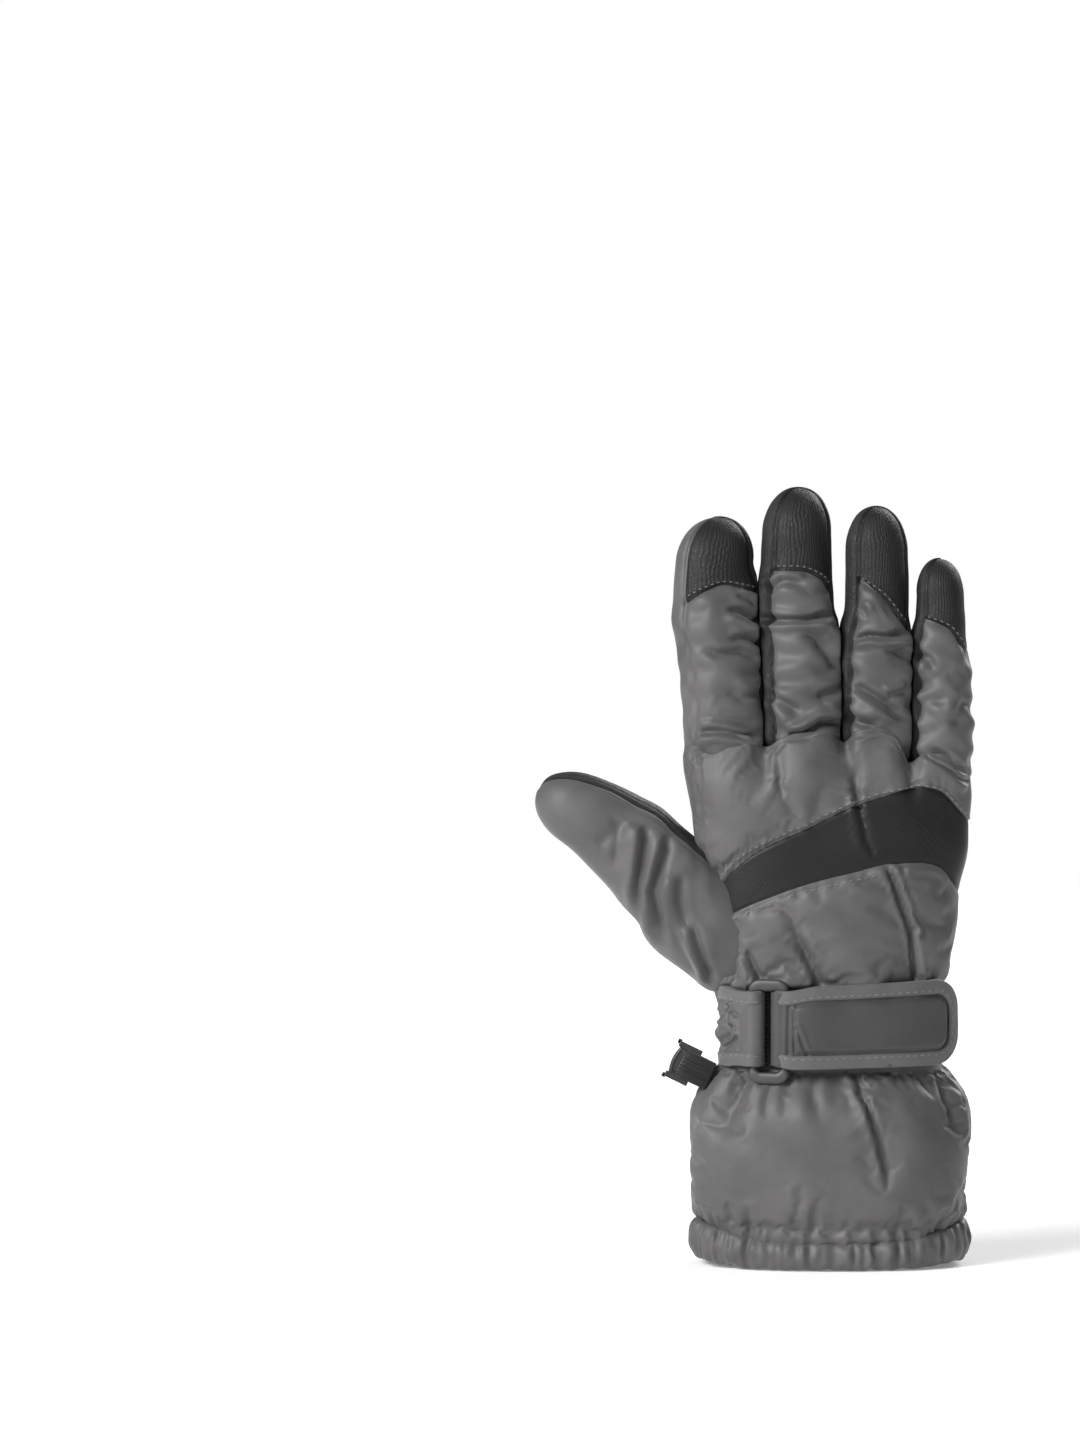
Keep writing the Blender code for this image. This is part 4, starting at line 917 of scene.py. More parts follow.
def hand_grid():
    nj, ni = 176, 84
    nb = 86                                  # columns over the back
    ns = 8                                   # columns of the side strip
    rowA, rowB, rowC = 9, 38, 56             # elastic seam, band's lower edge, band's upper edge
    fr = np.empty(nj)
    X0 = None
    # rows as heights: start from a guess of x at each column, twice refined
    colk = np.arange(nj)
    U = np.zeros((ni, nj))
    Zr = np.repeat(np.linspace(74, 188, ni)[:, None], nj, 1)
    for it in range(3):
        uT = thumb_side_u(Zr)
        uS = 2 * math.pi - strip_u(Zr)
        for j in range(nj):
            if j <= nb:
                U[:, j] = uT[:, j] * (j / nb)
            elif j <= nj - ns:
                U[:, j] = uT[:, j] + (uS[:, j] - uT[:, j]) * ((j - nb) / (nj - ns - nb))
            else:
                U[:, j] = uS[:, j] + (2 * math.pi - uS[:, j]) * ((j - (nj - ns)) / ns)
        Pn = body_pt(U, Zr)
        X = Pn[..., 0]
        wb = smooth(-0.30, 0.12, np.sin(U))          # 1 over the back
        bx = np.clip(X, -52, 52)
        zlo, zhi = pchip(BAND, bx)
        zt_b, = pchip(HTOP, bx)
        zt_p, = pchip(PTOP, bx)
        zA = 82.0 * np.ones_like(X)
        zB = wb * zlo + (1 - wb) * 126.0
        zC = wb * zhi + (1 - wb) * 156.0
        zT = wb * zt_b + (1 - wb) * zt_p
        r = np.arange(ni)[:, None] * np.ones((1, nj))
        Zn = np.where(r <= rowA, 70.0 + (zA - 70.0) * r / rowA,
             np.where(r <= rowB, zA + (zB - zA) * (r - rowA) / (rowB - rowA),
             np.where(r <= rowC, zB + (zC - zB) * (r - rowB) / (rowC - rowB),
                      zC + (zT - zC) * (r - rowC) / (ni - 1 - rowC))))
        # one height function per column from the row's own x
        Zr = Zn
    P = body_pt(U, Zr)
    return P, U, nb, ns, rowA, rowB, rowC


def palm_pleats(x):
    return np.sin(x * 0.93 + 0.9 * np.sin(x * 0.21)) + 0.5 * np.sin(x * 1.71 + 2.0)


def build_hand():
    P, U, nb, ns, rA, rB, rC = hand_grid()
    ni, nj = P.shape[:2]
    N = outward(P, normals(P))
    X, Y, Z = P[..., 0], P[..., 1], P[..., 2]
    row = np.arange(ni)[:, None]
    col = np.arange(nj)[None]
    backf = smooth(-0.15, 0.15, np.sin(U))
    d = np.zeros_like(X)
    # the top pinches in at the webs and swells over each finger
    for xw, zw, wd in ((-23.9, 188.0, 3.4), (3.8, 190.0, 3.4), (28.7, 183.0, 3.2)):
        rb = smooth(zw - 26, zw - 1, Z) ** 1.6
        rp = smooth(zw - 13, zw + 1, Z) ** 1.4
        d = d - (4.6 * gauss((X - xw) / wd) * rb * backf + 3.4 * gauss((X - xw) / (0.62 * wd)) * rp * (1 - backf)) * (np.abs(np.sin(U)) > 0.1)
    d = d - 2.3 * smooth(177.0, 192.0, Z) * (1 - backf)
    # panels are full between their seams
    q = np.clip((row - rC) / (ni - 1 - rC), 0, 1)
    d = d + backf * np.where((row > rC), 1.0 * np.sin(math.pi * q) ** 0.6, 0)
    q = np.clip((row - rA) / (rB - rA), 0, 1)
    d = d + backf * np.where((row > rA) & (row < rB), 1.6 * np.sin(math.pi * q) ** 0.7, 0)
    # wrist drawn in under the strap
    inband = backf * smooth(rB - 1, rB + 2, row) * (1 - smooth(rC - 2, rC + 1, row))
    for pts, dep, wid, one, tp in HAND_FOLDS_BACK:
        d = d + crease(P, N, True, pts, dep, wid, 0.4, one, tp) * (1 - 0.55 * inband)
    for pts, dep, wid, one, tp in PALM_FOLDS:
        d = d + crease(P, N, False, pts, dep, wid, 0.4, one, tp)
    # gathers either side of the elastic on the palm
    palmf = smooth(0.12, 0.4, -np.sin(U))
    s = X
    pl = palm_pleats(s)
    d = d + palmf * (0.95 * pl * (gauss(np.maximum(Z - 82, 0) / 7.0)) + 0.55 * np.sin(s * 0.5 + 1.0) * (1 - smooth(88, 120, Z)) * smooth(80, 88, Z)
                     - 1.7 * gauss((Z - 82.0) / 2.4) - 2.6 * (1 - smooth(69.5, 76.5, Z)))
    # gathers above the strap on the back
    pb = np.sin(s * 0.62 + 1.3 * np.sin(s * 0.17 + 1.0))
    d = d + backf * 0.55 * pb * gauss((Z - 101) / 8.0)
    wv = Waves(3, 26.0)
    d = d + (0.40 * backf + 0.45 * (1 - backf)) * wv(P) * smooth(74, 90, Z)
    wf = Waves(5, 9.0)
    d = d + 0.04 * wf(P) * (1 - backf)
    P1 = P + N * d[..., None]
    one = np.ones_like(X)
    pin = np.maximum.reduce([
        one * (row < 4), one * (row > ni - 3) * 1.0,
        gauss((row - rB) / 1.0) * backf, gauss((row - rC) / 1.0) * backf,
        gauss(np.minimum(col, nj - col) / 1.0) * one, gauss((col - nb) / 1.0) * one,
        gauss((col - (nj - ns)) / 1.0) * one * (Z > 96),
        0.72 * (1 - backf), 0.45 * gauss((Z - 86) / 9.0),
        np.where((row > rB) & (row < rC), 0.85, 0.0) * backf])
    for pts, dep, wid, onesd, tp in HAND_FOLDS_BACK:
        D, A, S = seg_dist(X, Z, pts)
        pin = np.maximum(pin, 0.8 * gauss(D / 1.3) * (N[..., 1] < -0.1) * (dep > 0.95))
    for xw in (-23.9, 3.8, 28.7):
        pin = np.maximum(pin, gauss((X - xw) / 2.5) * smooth(172, 180, Z))
    P2 = simulate(P1, np.clip(pin, 0, 1), pressure=1.6, grow=0.035, frames=14, bend=0.4)
    firm = np.maximum(0.8 * (1 - backf) * (Z > 88), backf * smooth(rB - 1, rB + 1, row) * (1 - smooth(rC - 1, rC + 1, row)))
    firm = np.maximum(firm, 0.85 * smooth(40.0, 46.0, X) * (Z > 104))
    P2 = calm(P1, P2, firm, 10)
    dn = np.sum((P2 - P) * N, -1)
    lim = 0.25 + 7.0 * smooth(98.6, 102.0, Z)
    use = (np.sin(U) > -0.7) & (np.cos(U) > -0.85) | ((np.cos(U) > 0) & (np.sin(U) > -0.75))
    P2 = P2 - N * (np.clip(dn - lim, 0, 9) * use * (Z < 103))[..., None]
    # close the top: rows that turn in over the fingers' roots
    extra = []
    zc = P2[-1, :, 2]
    web = np.zeros(nj)
    for xw, zw in ((-23.9, 186.0), (3.8, 188.0), (28.7, 180.0)):
        web = np.maximum(web, gauss((P2[-1, :, 0] - xw) / 4.0))
    for k, (sy, dz) in enumerate(((0.93, 0.5), (0.80, 0.2), (0.55, -0.8), (0.28, -1.6), (0.02, -2.0))):
        rowp = P2[-1].copy()
        rowp[:, 1] *= sy
        rowp[:, 2] += dz * (0.4 + 0.6 * web) - (1 - web) * (k + 1) * 2.0
        extra.append(rowp)
    P2 = np.concatenate([P2, np.stack(extra)], 0)
    G = up(P2)
    N2 = outward(G, normals(G))
    r2 = np.arange(G.shape[0])[:, None]
    c2 = np.arange(G.shape[1])[None]
    U2 = up(np.concatenate([U, np.repeat(U[-1:], 5, 0)], 0)[..., None], False)[..., 0]
    U2 = np.concatenate([U2, U2[:, -1:]], 1) if U2.shape[1] < G.shape[1] else U2
    b2 = smooth(-0.1, 0.1, np.sin(U2[:G.shape[0], :G.shape[1]]))
    g = -0.6 * gauss((r2 - 2 * rB) / 1.1) * b2 - 0.6 * gauss((r2 - 2 * rC) / 1.1) * b2
    g = g + 0.40 * gauss((r2 - 2 * rC - 3.2) / 1.6) * b2 + 0.45 * gauss((r2 - 2 * rB + 3.2) / 1.6) * b2
    g = g + 0.75 * gauss((r2 - 2 * rB + 2.0) / 1.5) * b2 * smooth(12.0, 22.0, G[..., 0]) * (1 - smooth(36.0, 44.0, G[..., 0]))
    g = g * (1 - 0.7 * smooth(42.0, 47.0, G[..., 0]))
    q0 = np.minimum(c2, G.shape[1] - c2)
    g = g - 0.5 * gauss(q0 / 1.1) - 0.5 * gauss((c2 - 2 * nb) / 1.1) * (G[..., 2] > 152)
    g = g - 0.55 * gauss((c2 - 2 * (nj - ns)) / 1.1) + 0.25 * gauss((c2 - 2 * (nj - ns) + 4) / 2.0)
    G = G + N2 * (g * smooth(0, 6, G.shape[0] - 12 - r2))[..., None]
    N3 = outward(G, normals(G))
    face = np.clip(-N3[..., 1] * 2, 0, 1)
    for pts, dp in (([(4.7, 189.0), (7.4, 174.0), (9.2, 164.5), (12.2, 152.0), (15.3, 144.6)], 0.9),
                    ([(19.4, 143.4), (23.0, 133.0), (27.3, 120.6), (29.3, 101.0)], 1.0),
                    ([(-19.9, 184.0), (-19.2, 176.0), (-17.6, 167.0)], 0.5),
                    ([(-30.5, 113.0), (-28.5, 109.0), (-25.5, 103.0)], 0.8),
                    ([(-14.0, 123.0), (-12.0, 117.5), (-4.4, 101.6)], 0.8),
                    ([(-48.0, 186.0), (-46.6, 172.0), (-47.2, 162.0)], 0.7)):
        D, A, S = seg_dist(G[..., 0], G[..., 2], pts)
        G = G - N3 * (dp * gauss(D / 0.55) * face * smooth(0, 0.05, A) * (1 - smooth(0.9, 1, A)))[..., None]
    return dict(P=G, N=outward(G, normals(G)), uv=arc_uv(G), nb=2 * nb, ns=2 * ns, nj=2 * nj, rA=2 * rA, rB=2 * rB, rC=2 * rC)


HG = build_hand()


def melt(A, B, reach=1.5):
    """Where two leather surfaces cross on the palm side, both take the mean of their normals."""
    def tree(G):
        pts = G["P"].reshape(-1, 3)
        kd = KDTree(len(pts))
        for k, p in enumerate(pts):
            kd.insert(p, k)
        kd.balance()
        return kd, G["N"].reshape(-1, 3)

    box_lo, box_hi = B["P"].reshape(-1, 3).min(0) - 3, B["P"].reshape(-1, 3).max(0) + 3
    na_, nb_ = A["N"].reshape(-1, 3).copy(), B["N"].reshape(-1, 3).copy()
    ka, _ = tree(A)
    kb, _ = tree(B)
    for G, N0, N1, kd, out in ((A, na_, nb_, kb, A), (B, nb_, na_, ka, B)):
        P = G["P"].reshape(-1, 3)
        sel = np.nonzero((N0[:, 1] > 0.25) & (P[:, 2] > 165) & (P[:, 2] < 200)
                         & (P[:, 0] > box_lo[0]) & (P[:, 0] < box_hi[0]))[0]
        M2 = G["N"].reshape(-1, 3).copy()
        for k in sel:
            _, idx, dist_ = kd.find(P[k])
            if dist_ < 3 * reach:
                w = 0.5 * math.exp(-(dist_ / reach) ** 2)
                v = N0[k] * (1 - w) + N1[idx] * w
                M2[k] = v / np.linalg.norm(v)
        G["N"] = M2.reshape(G["N"].shape)


FG = {}
for key, f in FINGERS.items():
    FG[key] = close_tip(build_finger(key, f))
    melt(HG, FG[key])
for key, f in FINGERS.items():
    G = FG[key]
    nb, nj, ic = G["nb"], G["nj"], G["ic"]
    nr = G["P"].shape[0]
    icut = row_at(G, f["cut"])
    k, m = f["knuckle"], f["mid"]
    x = f["rows"][2][1]
    lowB = ("hand", key + "_root", m3(x, 0, k - 7.0), m3(x, 0, k + 8.0))
    topB = (key + "_root", key + "_end", m3(x, 0, m - 8.0), m3(x, 0, m + 8.0))
    finish_piece(cut("v_%s_back_lower" % key, G, 0, icut, 0, nb, M["satin"]), lowB,
                 [key + "_knuckle_gather", key + "_back_panel"])
    finish_piece(cut("v_%s_palm_lower" % key, G, 0, icut, nb, nj, M["leather"]), lowB,
                 [key + "_palm_panel"])
    finish_piece(cut("v_%s_back_upper" % key, G, icut, ic, 0, nb, M["satin"]), topB,
                 [key + "_mid_gather", key + "_back_distal"])
    finish_piece(cut("v_%s_palm_upper" % key, G, icut, nr - 1, nb, nj, M["leather"]), topB,
                 [key + "_palm_distal"])
    jc = G["js"] if G["js"] else nb
    j0 = 0
    if key == "little":
        j0 = int(np.argmin(np.abs(G["us"][:nb] + 0.34)))
        finish_piece(cut("v_little_outer_strip", G, ic, nr - 1, 0, j0, M["satin"]), topB, [])
    finish_piece(cut("v_%s_cap" % key, G, ic, nr - 1, j0, jc, M["cap"]), topB,
                 [key + "_tip_cap"])
    if G["js"]:
        finish_piece(cut("v_%s_outer_strip" % key, G, ic, nr - 1, jc, nb, M["satin"]), topB, [])


nb, nj, ns = HG["nb"], HG["nj"], HG["ns"]
nr = HG["P"].shape[0]
rA, rB, rC = HG["rA"], HG["rB"], HG["rC"]
finish_piece(cut("v_hand_back_lower", HG, 0, rB, 0, nb, M["satin"]), "hand", ["hand_back_lower_panel"])
finish_piece(cut("v_contrast_band", HG, rB, rC, 0, nb, M["band"]), "hand", ["contrast_band_panel"])
finish_piece(cut("v_hand_back_upper", HG, rC, nr - 1, 0, nb, M["satin"]), "hand",
             ["hand_back_upper_panel"])
finish_piece(cut("v_palm_leather", HG, rA, nr - 1, nb, nj - ns, M["leather"]), "hand",
             ["palm_leather_panel", "web_index_middle", "web_middle_ring", "web_ring_little"])
finish_piece(cut("v_palm_wrist", HG, 0, rA, nb, nj - ns, M["satin"]), "hand", ["palm_wrist_panel"])
finish_piece(cut("v_side_strip", HG, 0, nr - 1, nj - ns, nj, M["satin"]), "hand", ["side_strip_little"])


# ============================================================================
# Thumb
# ============================================================================
T0, T1 = 0.60, math.pi + 1.02
THUMB_FOLDS = [([(-66.0, 158.0), (-67.5, 148.0), (-69.0, 136.0), (-67.5, 126.0)], 1.9, 1.5, 1),
               ([(-57.5, 155.5), (-60.5, 145.0), (-63.5, 134.0), (-61.5, 122.0), (-57.0, 113.0)], 2.1, 1.6, 1),
               ([(-74.0, 160.0), (-77.0, 150.0), (-77.5, 141.0)], 1.0, 1.8, -1),
               ([(-84.0, 150.0), (-78.0, 155.5), (-76.0, 161.0)], 0.8, 2.0, 1),
               ([(-53.5, 141.0), (-54.0, 130.0), (-51.0, 116.0)], 1.1, 2.0, 1),
               ([(-50.0, 123.0), (-46.5, 112.0), (-41.5, 99.0)], 1.6, 1.5, 1),
               ([(-58.0, 124.0), (-53.0, 112.0), (-46.5, 101.0)], 1.0, 1.8, -1)]


def build_thumb():
    nj, ni, nd = 88, 52, 15
    nb = int(round(nj * (T1 - T0) / (2 * math.pi)))
    us = np.concatenate([np.linspace(T0, T1, nb, endpoint=False), np.linspace(T1, T0 + 2 * math.pi, nj - nb, endpoint=False)])
    t = np.linspace(-14.0, 56.0, ni)[:, None] * np.ones((1, nj))
    cx, cz, hw, hd, ang = pchip(THUMB, t)
    a = np.radians(ang)
    c, s = sp(np.cos(us), 2.2)[None], sp(np.sin(us), 2.2)[None]
    P = np.stack([cx + np.cos(a) * hw * c, -hd * s, cz + np.sin(a) * hw * c], -1)
    _, cx1, cz1, hw1, hd1, ang1 = THUMB[-1]
    a1 = math.radians(ang1)
    dvec = np.array([THUMB_TIP[0] - cx1, THUMB_TIP[2], THUMB_TIP[1] - cz1])
    dome = []
    for k in range(1, nd + 1):
        phi = (k / (nd + 0.35)) * math.pi / 2
        sn, cs = math.sin(phi), math.cos(phi) ** 0.9
        base = np.array([cx1, 0, cz1]) + dvec * sn
        dome.append(np.stack([base[0] + math.cos(a1) * hw1 * cs * c[0], base[1] - hd1 * cs * s[0],
                              base[2] + math.sin(a1) * hw1 * cs * c[0]], -1))
    P = np.concatenate([P, np.stack(dome)], 0)
    nr = P.shape[0]
    for k in range(26):
        w = 0.5 * smooth(ni - 16, ni - 6, np.arange(1, nr - 1)) * (1 - smooth(ni + 4, ni + 11, np.arange(1, nr - 1)))
        P[1:-1] = P[1:-1] + w[:, None, None] * ((P[:-2] + P[2:]) / 2 - P[1:-1])
    N = outward(P, normals(P))
    row = np.arange(nr)[:, None]
    col = np.arange(nj)[None]
    s0 = np.minimum(col, nj - col) * np.ones((nr, 1))
    s1 = np.abs(col - nb) * np.ones((nr, 1))
    back = (col <= nb) * np.ones((nr, 1)) > 0
    across = np.clip(col / nb, 0, 1)
    d = np.where(back, 0.8 * np.sin(math.pi * across) ** 0.6, 0.2) - 0.5
    d = d - 0.5 * (gauss(s0 / 1.2) + gauss(s1 / 1.2)) * (row < nr - 4)
    for pts, dep, wid, one in THUMB_FOLDS:
        d = d + crease(P, N, True, pts, dep, wid, 0.45, one)
    d = d + 0.28 * Waves(21, 24.0)(P) * np.where(back, 1, 0.4)
    P1 = P + N * d[..., None]
    X, Z = P[..., 0], P[..., 2]
    pin = np.maximum.reduce([gauss(s0 / 0.9), gauss(s1 / 0.9), (row < 8) * np.ones((1, nj))])
    for pts, dep, wid, one in THUMB_FOLDS:
        D, A, S = seg_dist(X, Z, pts)
        pin = np.maximum(pin, gauss(D / 1.3) * (N[..., 1] < -0.1) * 0.7 * smooth(0, 0.1, A) * (1 - smooth(0.85, 1, A)))
    pin = np.maximum(pin, np.where(~back, 0.5, 0))
    pin = np.maximum(pin, 0.8 * smooth(nr - 20, nr - 4, row) * np.ones((1, nj)))
    pin = np.maximum(pin, 0.5 * smooth(24.0, 50.0, np.concatenate([t, np.full((nd, nj), 56.0)], 0)))
    P2 = simulate(P1, np.clip(pin, 0, 1), pressure=1.8, grow=0.040, frames=14, bend=0.4)
    firm = np.maximum(smooth(ni - 14, ni - 5, row) * np.ones((1, nj)), np.where(~back, 0.75, 0.12))
    P2 = calm(P1, P2, firm, 26)
    G = round_tip(up(P2), 11)
    N2 = outward(G, normals(G))
    c2 = np.arange(G.shape[1])[None]
    r2 = np.arange(G.shape[0])[:, None]
    q0 = np.minimum(c2, G.shape[1] - c2)
    tf = smooth(0, 8, G.shape[0] - 1 - r2)
    g = -0.5 * (gauss(q0 / 1.1) + gauss((c2 - 2 * nb) / 1.1)) * tf - 0.35 * gauss((q0 - 5) / 1.1) * tf
    G = G + N2 * g[..., None]
    return close_tip(dict(P=G, N=outward(G, normals(G)), uv=arc_uv(G), nb=2 * nb, nj=2 * nj, rows_t=(ni, nd)))


TG = build_thumb()
tn = TG["P"].shape[0]
t_of = lambda t: int(round((t + 14.0) / 70.0 * 2 * 51))
tc = t_of(25.0)
BASE_AX = np.array([-52.6, 0, 131.4])
dB = np.array([-0.9976, 0, 0.0698])         # square to the ring where the thumb is cut in two
bs0, be0 = BASE_AX - dB * 6.0, BASE_AX + dB * 10.5
MID_AX = np.array([-72.2, 0, 149.3])
ms0, me0 = MID_AX - dB * 6.5, MID_AX + dB * 8.0
lowT = ("hand", "thumb_root", m3(*bs0), m3(*be0))
topT = ("thumb_root", "thumb_end", m3(*ms0), m3(*me0))
nb, nj = TG["nb"], TG["nj"]
finish_piece(cut("v_thumb_back_lower", TG, 0, tc, 0, nb, M["satin"]), lowT, ["thumb_base_gather", "thumb_back_panel"])
finish_piece(cut("v_thumb_palm_lower", TG, 0, tc, nb, nj, M["leather"]), lowT, ["thumb_palm_panel"])
finish_piece(cut("v_thumb_back_upper", TG, tc, tn - 1, 0, nb, M["satin"]), topT, ["thumb_mid_gather", "thumb_back_distal"])
finish_piece(cut("v_thumb_palm_upper", TG, tc, tn - 1, nb, nj, M["leather"]), topT, ["thumb_palm_distal"])


# ============================================================================
# Cuff
# ============================================================================
CUFF_FOLDS_BACK = [
    ([(7.4, 72.0), (11.0, 59.0), (14.5, 48.5), (17.6, 37.0), (18.5, 24.0)], 1.7, 1.45, 1, (0.02, 0.35)),
    ([(36.4, 71.0), (42.4, 57.4), (45.2, 41.0)], 1.7, 1.8, -1, (0.02, 0.35)),
    ([(-12.0, 70.0), (-6.0, 58.0), (-4.0, 48.0)], 0.7, 2.6, 1, (0.02, 0.5)),
    ([(-30.0, 68.0), (-37.0, 56.0), (-40.0, 44.0)], 1.3, 2.2, 1, (0.02, 0.5)),
    ([(-22.0, 69.0), (-24.0, 58.0), (-24.0, 50.0)], 0.8, 1.9, -1, (0.02, 0.5)),
    ([(22.0, 70.0), (27.0, 60.0), (29.0, 52.0)], 1.0, 1.9, 1, (0.02, 0.5)),
    ([(-14.0, 16.0), (-12.0, 26.0), (-14.0, 36.0)], 0.8, 2.0, 1, (0.02, 0.5)),
    ([(-36.0, 16.0), (-37.0, 27.0)], 0.8, 1.8, 1, (0.02, 0.5)),
    ([(33.0, 16.0), (31.0, 28.0)], 0.9, 1.8, -1, (0.02, 0.5)),
]
CUFF_FOLDS_PALM = [
    ([(-5.5, 77.0), (-8.0, 58.0), (-10.6, 22.0)], 1.7, 1.9, 1, (0.02, 0.25)),
    ([(40.0, 58.0), (45.4, 20.0)], 0.9, 1.4, 0, (0.1, 0.1)),
    ([(14.0, 76.0), (15.5, 62.0), (14.5, 50.0)], 1.8, 1.8, -1, (0.02, 0.5)),
    ([(24.0, 76.0), (28.0, 62.0), (31.0, 50.0)], 1.5, 1.8, 1, (0.02, 0.5)),
    ([(-22.0, 76.0), (-27.0, 62.0), (-31.0, 46.0)], 1.7, 1.9, 1, (0.02, 0.5)),
    ([(-33.0, 74.0), (-39.0, 62.0), (-42.0, 50.0)], 1.4, 1.8, -1, (0.02, 0.5)),
    ([(2.0, 18.0), (3.0, 30.0)], 0.8, 1.8, 1, (0.02, 0.5)),
]


def hem_z(u):
    """Height of the hem seam round the cuff."""
    x = 50 * np.cos(u)
    return 10.0 + 6.5 * (np.abs(x) / 50.0) ** 2.2 - 1.0 * (x < 0) * 0


_tr = np.random.default_rng(23)
TUCKS = [(a, _tr.uniform(0.25, 1.0), _tr.uniform(0.6, 1.25)) for a in
         np.concatenate([_tr.uniform(0, 2 * math.pi, 58), _tr.normal(1.35, 0.38, 16), _tr.normal(4.7, 0.7, 12)])]


def tucks(u, least=0.0):
    """Narrow tucks where the seam between cuff and hem roll is drawn together by the elastic, 0 to about 1 deep."""
    out = np.zeros_like(u)
    for a, dep, w in TUCKS:
        x = ((u - a + math.pi) % (2 * math.pi) - math.pi) * 41.0
        out = out + dep * gauss(x / max(w, least))
    return np.clip(out, 0, 1.2)


def build_cuff():
    nj, ni = 200, 48
    us = np.linspace(0, 2 * math.pi, nj, endpoint=False)
    U = np.broadcast_to(us[None], (ni, nj))
    t = np.linspace(0, 1, ni)[:, None]
    z0 = hem_z(us)[None]
    Z = z0 + (76.0 - z0) * t
    P = body_pt(U, Z, -0.6)
    N = outward(P, normals(P))
    X = P[..., 0]
    d = np.zeros_like(X)
    arc = us[None] * 41.0
    backf = smooth(-0.1, 0.1, np.sin(U))
    palmf = 1 - backf
    # gathers from the wrist, dying out down the cuff
    g1 = np.sin(arc * 0.78 + 1.1 * np.sin(arc * 0.13)) + 0.6 * np.sin(arc * 1.33 + 0.7)
    g2 = np.sin(arc * 0.36 + 0.8 * np.sin(arc * 0.09 + 1.0) + 0.02 * (Z - 40))
    amp = smooth(48, 70, Z)
    g1 = backf * g1 + palmf * palm_pleats(X)
    uneven = 0.55 + 0.45 * np.sin(arc * 0.21 + 0.6)
    d = d + g1 * amp * (0.47 * backf * uneven + 0.95 * palmf) - 1.5 * palmf * smooth(72, 76, Z) + (0.9 - 0.2 * backf) * g2 * smooth(30, 60, Z) * smooth(78, 64, Z)
    # small pleats into the hem
    g3 = np.sin(arc * 1.05 + 1.7 * np.sin(arc * 0.11))
    d = d + 0.34 * g3 * gauss((Z - z0) / 6.0) - 1.3 * tucks(U, 1.2) * gauss((Z - z0) / (4.0 + 2.5 * np.sin(arc * 0.31)))
    for pts, dep, wid, one, tp in CUFF_FOLDS_BACK:
        d = d + crease(P, N, True, pts, dep, wid, 0.45, one, tp)
    for pts, dep, wid, one, tp in CUFF_FOLDS_PALM:
        d = d + crease(P, N, False, pts, dep, wid, 0.45, one, tp)
    d = d + 1.0 * Waves(31, 34.0, aniso=(1, 1, 0.5))(P) * smooth(0, 12, Z - z0) * smooth(76, 64, Z)
    d = np.maximum(d, -2.7 + 0.25 * np.minimum(d + 2.7, 0))
    P1 = P + N * d[..., None]
    row = np.arange(ni)[:, None]
    col = np.arange(nj)[None]
    sd = np.minimum.reduce([col, nj - col, np.abs(col - nj // 2)])
    pin = np.maximum.reduce([1.0 * (row < 2) * np.ones((1, nj)), 1.0 * (row > ni - 6) * np.ones((1, nj)),
                             0.85 * gauss(sd / 0.9) * np.ones((ni, 1))])
    for folds, bk in ((CUFF_FOLDS_BACK, True), (CUFF_FOLDS_PALM, False)):
        for pts, dep, wid, one, tp in folds:
            D, A, S = seg_dist(X, Z, pts)
            face = (N[..., 1] < -0.1) if bk else (N[..., 1] > 0.1)
            pin = np.maximum(pin, 0.6 * gauss(D / 1.5) * face * (1 - smooth(0.5, 0.95, A)) * (dep > 1.1))
    P2 = simulate(P1, np.clip(pin, 0, 1), pressure=1.5, grow=0.035, frames=16, bend=0.9)
    G = up(P2)
    N2 = outward(G, normals(G))
    c2 = np.arange(G.shape[1])[None]
    r2 = np.arange(G.shape[0])[:, None]
    q = np.minimum.reduce([c2, G.shape[1] - c2, np.abs(c2 - G.shape[1] // 2)])
    g = -0.5 * gauss(q / 1.2) - 1.15 * gauss(r2 / 1.7)
    G = G + N2 * g[..., None]
    # the lower edge goes down into the hem roll, so no gap is left where the two meet
    G[..., 2] -= 0.9 * gauss(r2 / 1.3)
    return dict(P=G, N=outward(G, normals(G)), uv=arc_uv(G), nj=2 * nj)


CG = build_cuff()
cj = CG["nj"]
cr = CG["P"].shape[0] - 1
wristB = ("cuff", "hand", m3(0, 0, 54.0), m3(0, 0, 73.0))
finish_piece(cut("v_cuff_back", CG, 0, cr, 0, cj // 2, M["satin"]), wristB, ["cuff_shell_back", "wrist_gather"])
finish_piece(cut("v_cuff_palm", CG, 0, cr, cj // 2, cj, M["satin"]), wristB, ["cuff_shell_palm"])


